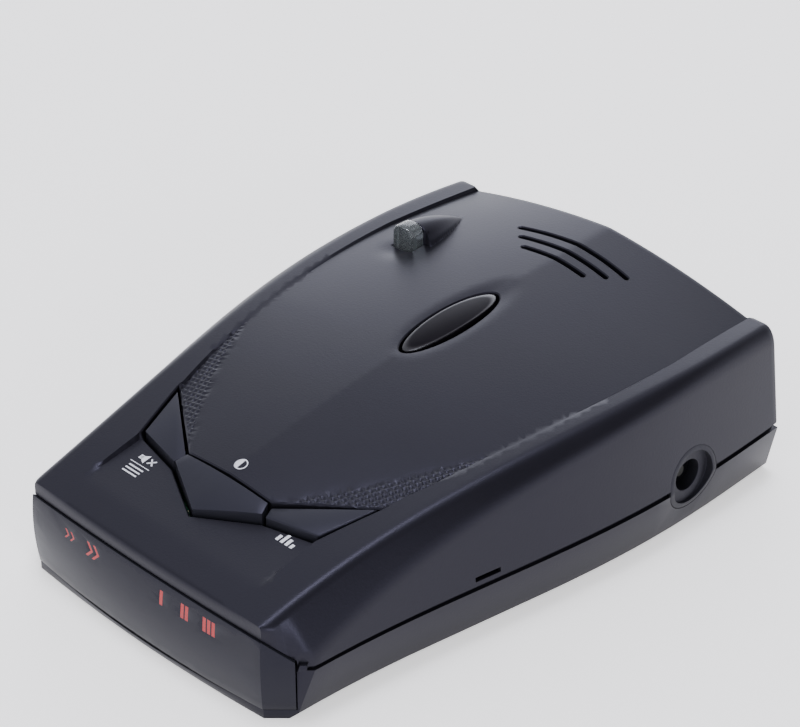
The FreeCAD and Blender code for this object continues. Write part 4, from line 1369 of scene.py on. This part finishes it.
@dataclass
class PrintedMarks:
    """White printed signs beside the keys: mute and menu, dimmer, town mode."""

    start_height: float = 40.0
    lift: float = 0.02
    thickness: float = 0.03
    menu_lines: tuple[float, ...] = (0.75, 0.0, -0.75)
    town_bars: tuple[Spot, ...] = ((-1.6, 1.2), (-0.55, 2.0), (0.5, 1.5), (1.55, 0.9))
    mute_spot: Spot = (-15.9, 14.4)
    menu_spot: Spot = (-15.9, 11.3)
    dimmer_spot: Spot = (0.0, 20.9)
    town_spot: Spot = (16.9, 15.3)
    ink: Finish = MouldedPlastic(colour=(0.72, 0.72, 0.74), roughness=0.5, depth=0.000004)

    def build(self) -> None:
        """Print each sign and lay it on the case."""
        self.lay(self.mute_sign(), "mute_mark")
        self.lay([self.bar(self.menu_spot, 3.4, 0.28, up=up) for up in self.menu_lines], "menu_mark")
        self.lay(self.dimmer_sign(), "dimmer_mark")
        self.lay([self.bar(self.town_spot, 0.62, tall, along=along, up=tall / 2 - 0.9)
                  for along, tall in self.town_bars], "town_mark")

    def bar(self, spot: Spot, wide: float, tall: float, along: float = 0.0, up: float = 0.0,
            turn: float = 0.0) -> bpy.types.Object:
        """Return one printed stroke.

        Args:
            spot: the middle of its sign.
            wide: its width in millimetres.
            tall: its height.
            along: how far right of the sign's middle it lies.
            up: how far above the sign's middle it lies.
            turn: its slant in degrees.

        Returns:
            The stroke, high above the case.
        """
        place = FORM.place((spot[0] + along, spot[1] + up, self.start_height))
        bpy.ops.mesh.primitive_plane_add(size=1.0, location=place, rotation=(0, 0, math.radians(turn)))
        stroke = bpy.context.object
        stroke.scale = (wide * MM, tall * MM, 1.0)
        return stroke

    def disc(self, spot: Spot, radius: float) -> bpy.types.Object:
        """Return one printed disc, high above the case.

        Args:
            spot: its middle.
            radius: its radius in millimetres.

        Returns:
            The disc.
        """
        bpy.ops.mesh.primitive_circle_add(vertices=40, radius=radius * MM, fill_type="NGON",
                                          location=FORM.place((*spot, self.start_height)))
        return bpy.context.object

    def mute_sign(self) -> list[bpy.types.Object]:
        """Return a loudspeaker with a cross beside it.

        Returns:
            The sign's strokes.
        """
        box = self.bar(self.mute_spot, 0.8, 0.9, along=-1.3)
        place = FORM.place((self.mute_spot[0] - 0.6, self.mute_spot[1], self.start_height))
        bpy.ops.mesh.primitive_circle_add(vertices=3, radius=1.15 * MM, fill_type="NGON", location=place,
                                          rotation=(0, 0, math.radians(90)))
        cone = bpy.context.object
        line = self.bar(self.mute_spot, 4.6, 0.13, up=-1.55)
        cross = [self.bar(self.mute_spot, 1.7, 0.28, along=1.2, turn=turn) for turn in (-45.0, 45.0)]
        return [box, cone, line] + cross

    def dimmer_sign(self) -> list[bpy.types.Object]:
        """Return a ring whose left half is filled.

        Returns:
            The sign's strokes.
        """
        ring = self.disc(self.dimmer_spot, 1.15)
        Bench.hold(ring)
        bpy.ops.object.mode_set(mode="EDIT")
        bpy.ops.mesh.select_all(action="SELECT")
        bpy.ops.mesh.inset(thickness=0.2 * MM)
        bpy.ops.mesh.delete(type="FACE")
        bpy.ops.object.mode_set(mode="OBJECT")
        half = self.disc(self.dimmer_spot, 1.05)
        Bench.hold(half)
        bpy.ops.object.mode_set(mode="EDIT")
        bpy.ops.mesh.select_all(action="SELECT")
        bpy.ops.mesh.bisect(plane_co=FORM.place((*self.dimmer_spot, self.start_height)), plane_no=(1, 0, 0),
                            clear_outer=True)
        bpy.ops.object.mode_set(mode="OBJECT")
        return [ring, half]

    def lay(self, strokes: list[bpy.types.Object], name: str) -> None:
        """Drop a sign's strokes onto the case and give them the thickness of ink.

        Args:
            strokes: the sign's strokes.
            name: the sign's name.
        """
        sign = Bench.join(strokes, name)
        Bench.settle(sign)
        Bench.hold(sign)
        bpy.ops.object.mode_set(mode="EDIT")
        bpy.ops.mesh.select_all(action="SELECT")
        bpy.ops.mesh.quads_convert_to_tris()
        bpy.ops.mesh.subdivide(number_cuts=3)
        bpy.ops.object.mode_set(mode="OBJECT")
        Bench.modify(sign, "SHRINKWRAP", target=bpy.data.objects["upper_case_skin"], wrap_method="PROJECT",
                     use_project_z=True, use_negative_direction=True, use_positive_direction=False,
                     offset=self.lift * MM)
        Bench.modify(sign, "SOLIDIFY", thickness=self.thickness * MM, offset=1.0)
        Bench.hand_over(sign, "case_body", "plunger_white", self.ink)


@dataclass(frozen=True)
class PolishedRim(MouldedPlastic):
    """Black plastic whose oval rim is worn to a shine."""

    centre: Spot = (0.0, 14.975)
    half: Spot = (3.0, 10.9)

    def mix(self, recipe: Recipe) -> bpy.types.Material:
        """Add a clear coat towards the rim.

        Args:
            recipe: the material's tree.

        Returns:
            The finished material.
        """
        super().mix(recipe)
        across = (recipe.axis(0) - self.centre[0] * MM) / (self.half[0] * MM)
        along = (recipe.axis(1) - self.centre[1] * MM) / (self.half[1] * MM)
        rim = (across ** 2.0 + along ** 2.0).step(0.70, 0.96)
        recipe.set(Coat_Weight=rim * 0.9, Coat_Roughness=0.22)
        return recipe.material


@dataclass
class ReleaseButton(Softened):
    """Oval button in its bowl."""

    nodes: tuple[str, ...] = ("release_button",)
    edge: float = 0.5
    finish: Finish = PolishedRim(colour=(0.004, 0.003, 0.004), roughness=0.34, depth=0.000004, gloss=0.05)


@dataclass
class LightPipe:
    """Clear light pipe in front of the hood, in millimetres by station."""

    centre: Spot = UpperCase.pipe
    size: Spot = (4.6, 3.0)
    heights: Spot = (8.8, 34.0)
    facet: float = 1.5
    edge: float = 0.16

    def build(self) -> None:
        """Cut the pipe's top into an arch of facets and break its edges."""
        low, high = self.heights
        bpy.ops.object.select_all(action="DESELECT")
        bpy.ops.mesh.primitive_cube_add(size=1.0, location=FORM.place((*self.centre, (low + high) / 2)),
                                        scale=(self.size[0] * MM, self.size[1] * MM, (high - low) * MM))
        piece = bpy.context.object
        piece.name = piece.data.name = "rear_light_pipe_skin"
        Bench.settle(piece)
        top = max(vertex.co.z for vertex in piece.data.vertices)
        near = 0.01 * MM
        bpy.ops.object.mode_set(mode="EDIT")
        bpy.ops.mesh.select_all(action="DESELECT")
        bpy.ops.mesh.select_mode(type="EDGE")
        bpy.ops.object.mode_set(mode="OBJECT")
        for edge in piece.data.edges:
            ends = [piece.data.vertices[index].co for index in edge.vertices]
            edge.select = min(end.z for end in ends) > top - near and abs(ends[0].x - ends[1].x) < near
        bpy.ops.object.mode_set(mode="EDIT")
        bpy.ops.mesh.bevel(offset=self.facet * MM, segments=2, affect="EDGES")
        bpy.ops.object.mode_set(mode="OBJECT")
        Bench.modify(piece, "BEVEL", width=self.edge * MM, segments=2, limit_method="ANGLE",
                     angle_limit=math.radians(20))
        Bench.smooth(piece, 18.0)
        Bench.hand_over(piece, "case_body", "clear_acrylic", Shelf.clear_acrylic.value, "rear_light_pipe")


@dataclass
class PowerJack(Softened):
    """Round cup for the power plug."""

    nodes: tuple[str, ...] = ("jack_bezel",)
    edge: float = 0.1


@dataclass
class ThumbWheel(Softened):
    """Volume wheel with scalloped grips."""

    nodes: tuple[str, ...] = ("volume_wheel",)
    edge: float = 0.18


@dataclass
class WindshieldEnd(Softened):
    """Tinted laser lens in the windshield end."""

    nodes: tuple[str, ...] = ("windshield_lens",)
    edge: float = 0.15


class InnerParts:
    """The CAD nodes that keep their shape and only take a finish."""

    def build(self) -> None:
        """Dress every CAD node from its material slot."""
        for entry in frame["record"]["subparts"]:
            Shelf[entry["material_slot"]].value.dress(frame["nodes"][entry["node"]])
            LOG.info("dressed %s", entry["node"])


@dataclass
class Studio:
    """Pale floor, soft lights and the camera."""

    camera_place: tuple[float, float, float] = (0.281506, -0.273931, 0.274830)
    camera_tilt: float = 57.95
    camera_turn: float = 45.45
    focal_length: float = 125.4
    floor_size: float = 6.0
    floor_glow: float = 0.8
    sky_strength: float = 2.4
    dark_side: tuple[float, float, float] = (0.637, 0.402, 0.657)
    light_tone: tuple[float, float, float] = (0.88, 0.90, 1.0)
    sky_heights: Spot = (0.10, 0.42)
    sky_shares: Spot = (0.9, 0.48)
    dark_angles: Spot = (0.74, 0.92)
    dark_tone: tuple[float, float, float] = (0.08, 0.07, 0.08)
    lamps: tuple[tuple[str, Point, Point, float, float], ...] = (
        ("back_softbox", (-0.85, 0.95, 0.50), (0.0, 0.0, 0.02), 0.8, 4.5),
        ("high_softbox", (-0.1, 0.1, 1.6), (0.0, 0.0, 0.0), 0.5, 16.0),
        ("edge_softbox", (0.90, -0.25, 0.40), (0.0, 0.0, 0.01), 0.2, 3.0))

    def build(self) -> None:
        """Make the floor, the lights and the camera."""
        self.lay_floor()
        for lamp in self.lamps:
            self.light(*lamp)
        self.hang_sky()
        self.place_camera()

    def lay_floor(self) -> None:
        """Lay the plain floor."""
        bpy.ops.mesh.primitive_plane_add(size=self.floor_size, location=(0.0, 0.0, -0.02 * MM))
        floor = bpy.context.object
        floor.name = "floor"
        recipe = Recipe("floor_white")
        speck = recipe.noise(40.0, 3.0)
        tone = recipe.tint(speck, (0.92, 0.90, 0.87, 1.0), (0.94, 0.92, 0.89, 1.0))
        recipe.set(Base_Color=tone, Roughness=0.6, Emission_Color=(1.0, 0.99, 0.98, 1.0),
                   Emission_Strength=self.floor_glow)
        floor.data.materials.append(recipe.material)

    def light(self, name: str, place: tuple, aim: tuple, size: float, power: float) -> None:
        """Hang a square area light that points at a spot.

        Args:
            name: the light's name.
            place: where it hangs.
            aim: the spot.
            size: its side.
            power: its power in watts.
        """
        bpy.ops.object.light_add(type="AREA", location=place)
        lamp = bpy.context.object
        lamp.name = name
        lamp.data.size = size
        lamp.data.energy = power
        lamp.data.color = self.light_tone
        lamp.rotation_euler = (Vector(place) - Vector(aim)).to_track_quat("Z", "Y").to_euler()

    def hang_sky(self) -> None:
        """Light the scene evenly from all around."""
        world = bpy.data.worlds.new("sky")
        world.use_nodes = True
        tree = world.node_tree
        place = tree.nodes.new("ShaderNodeTexCoord")
        split = tree.nodes.new("ShaderNodeSeparateXYZ")
        across = tree.nodes.new("ShaderNodeVectorMath")
        across.operation = "DOT_PRODUCT"
        across.inputs[1].default_value = self.dark_side
        blend = tree.nodes.new("ShaderNodeMix")
        blend.data_type = "RGBA"
        blend.blend_type = "MULTIPLY"
        blend.inputs[0].default_value = 1.0
        tree.links.new(place.outputs["Generated"], split.inputs[0])
        tree.links.new(place.outputs["Generated"], across.inputs[0])
        tones = [shade(self.light_tone, share) for share in self.sky_shares]
        height = self.ramp(tree, self.sky_heights, tones)
        shadow = self.ramp(tree, self.dark_angles, [(1.0, 1.0, 1.0, 1.0), (*self.dark_tone, 1.0)])
        tree.links.new(split.outputs["Z"], height.inputs[0])
        tree.links.new(across.outputs["Value"], shadow.inputs[0])
        tree.links.new(height.outputs[0], blend.inputs[6])
        tree.links.new(shadow.outputs[0], blend.inputs[7])
        tree.links.new(blend.outputs[2], tree.nodes["Background"].inputs["Color"])
        tree.nodes["Background"].inputs["Strength"].default_value = self.sky_strength
        bpy.context.scene.world = world

    def ramp(self, tree: bpy.types.NodeTree, positions: Spot, colours: list[tuple]) -> bpy.types.Node:
        """Add a colour ramp between two stops.

        Args:
            tree: the sky's node tree.
            positions: where the stops lie.
            colours: their colours.

        Returns:
            The ramp.
        """
        made = tree.nodes.new("ShaderNodeValToRGB")
        for element, position, colour in zip(made.color_ramp.elements, positions, colours):
            element.position = position
            element.color = colour
        return made

    def place_camera(self) -> None:
        """Set up the camera."""
        turn = (math.radians(self.camera_tilt), 0.0, math.radians(self.camera_turn))
        bpy.ops.object.camera_add(location=self.camera_place, rotation=turn)
        camera = bpy.context.object
        camera.data.lens = self.focal_length
        camera.data.sensor_width = 36.0
        bpy.context.scene.camera = camera


def main() -> None:
    """Build the pieces in order."""
    logging.basicConfig(level=logging.INFO, format="%(name)s %(message)s")
    InnerParts().build()
    for part in (UpperCase(), LowerCase(), DisplayFront(), Keys(), PrintedMarks(), ReleaseButton(),
                 LightPipe(), PowerJack(), ThumbWheel(), WindshieldEnd()):
        part.build()
    Studio().build()


if __name__ == "__main__":
    main()
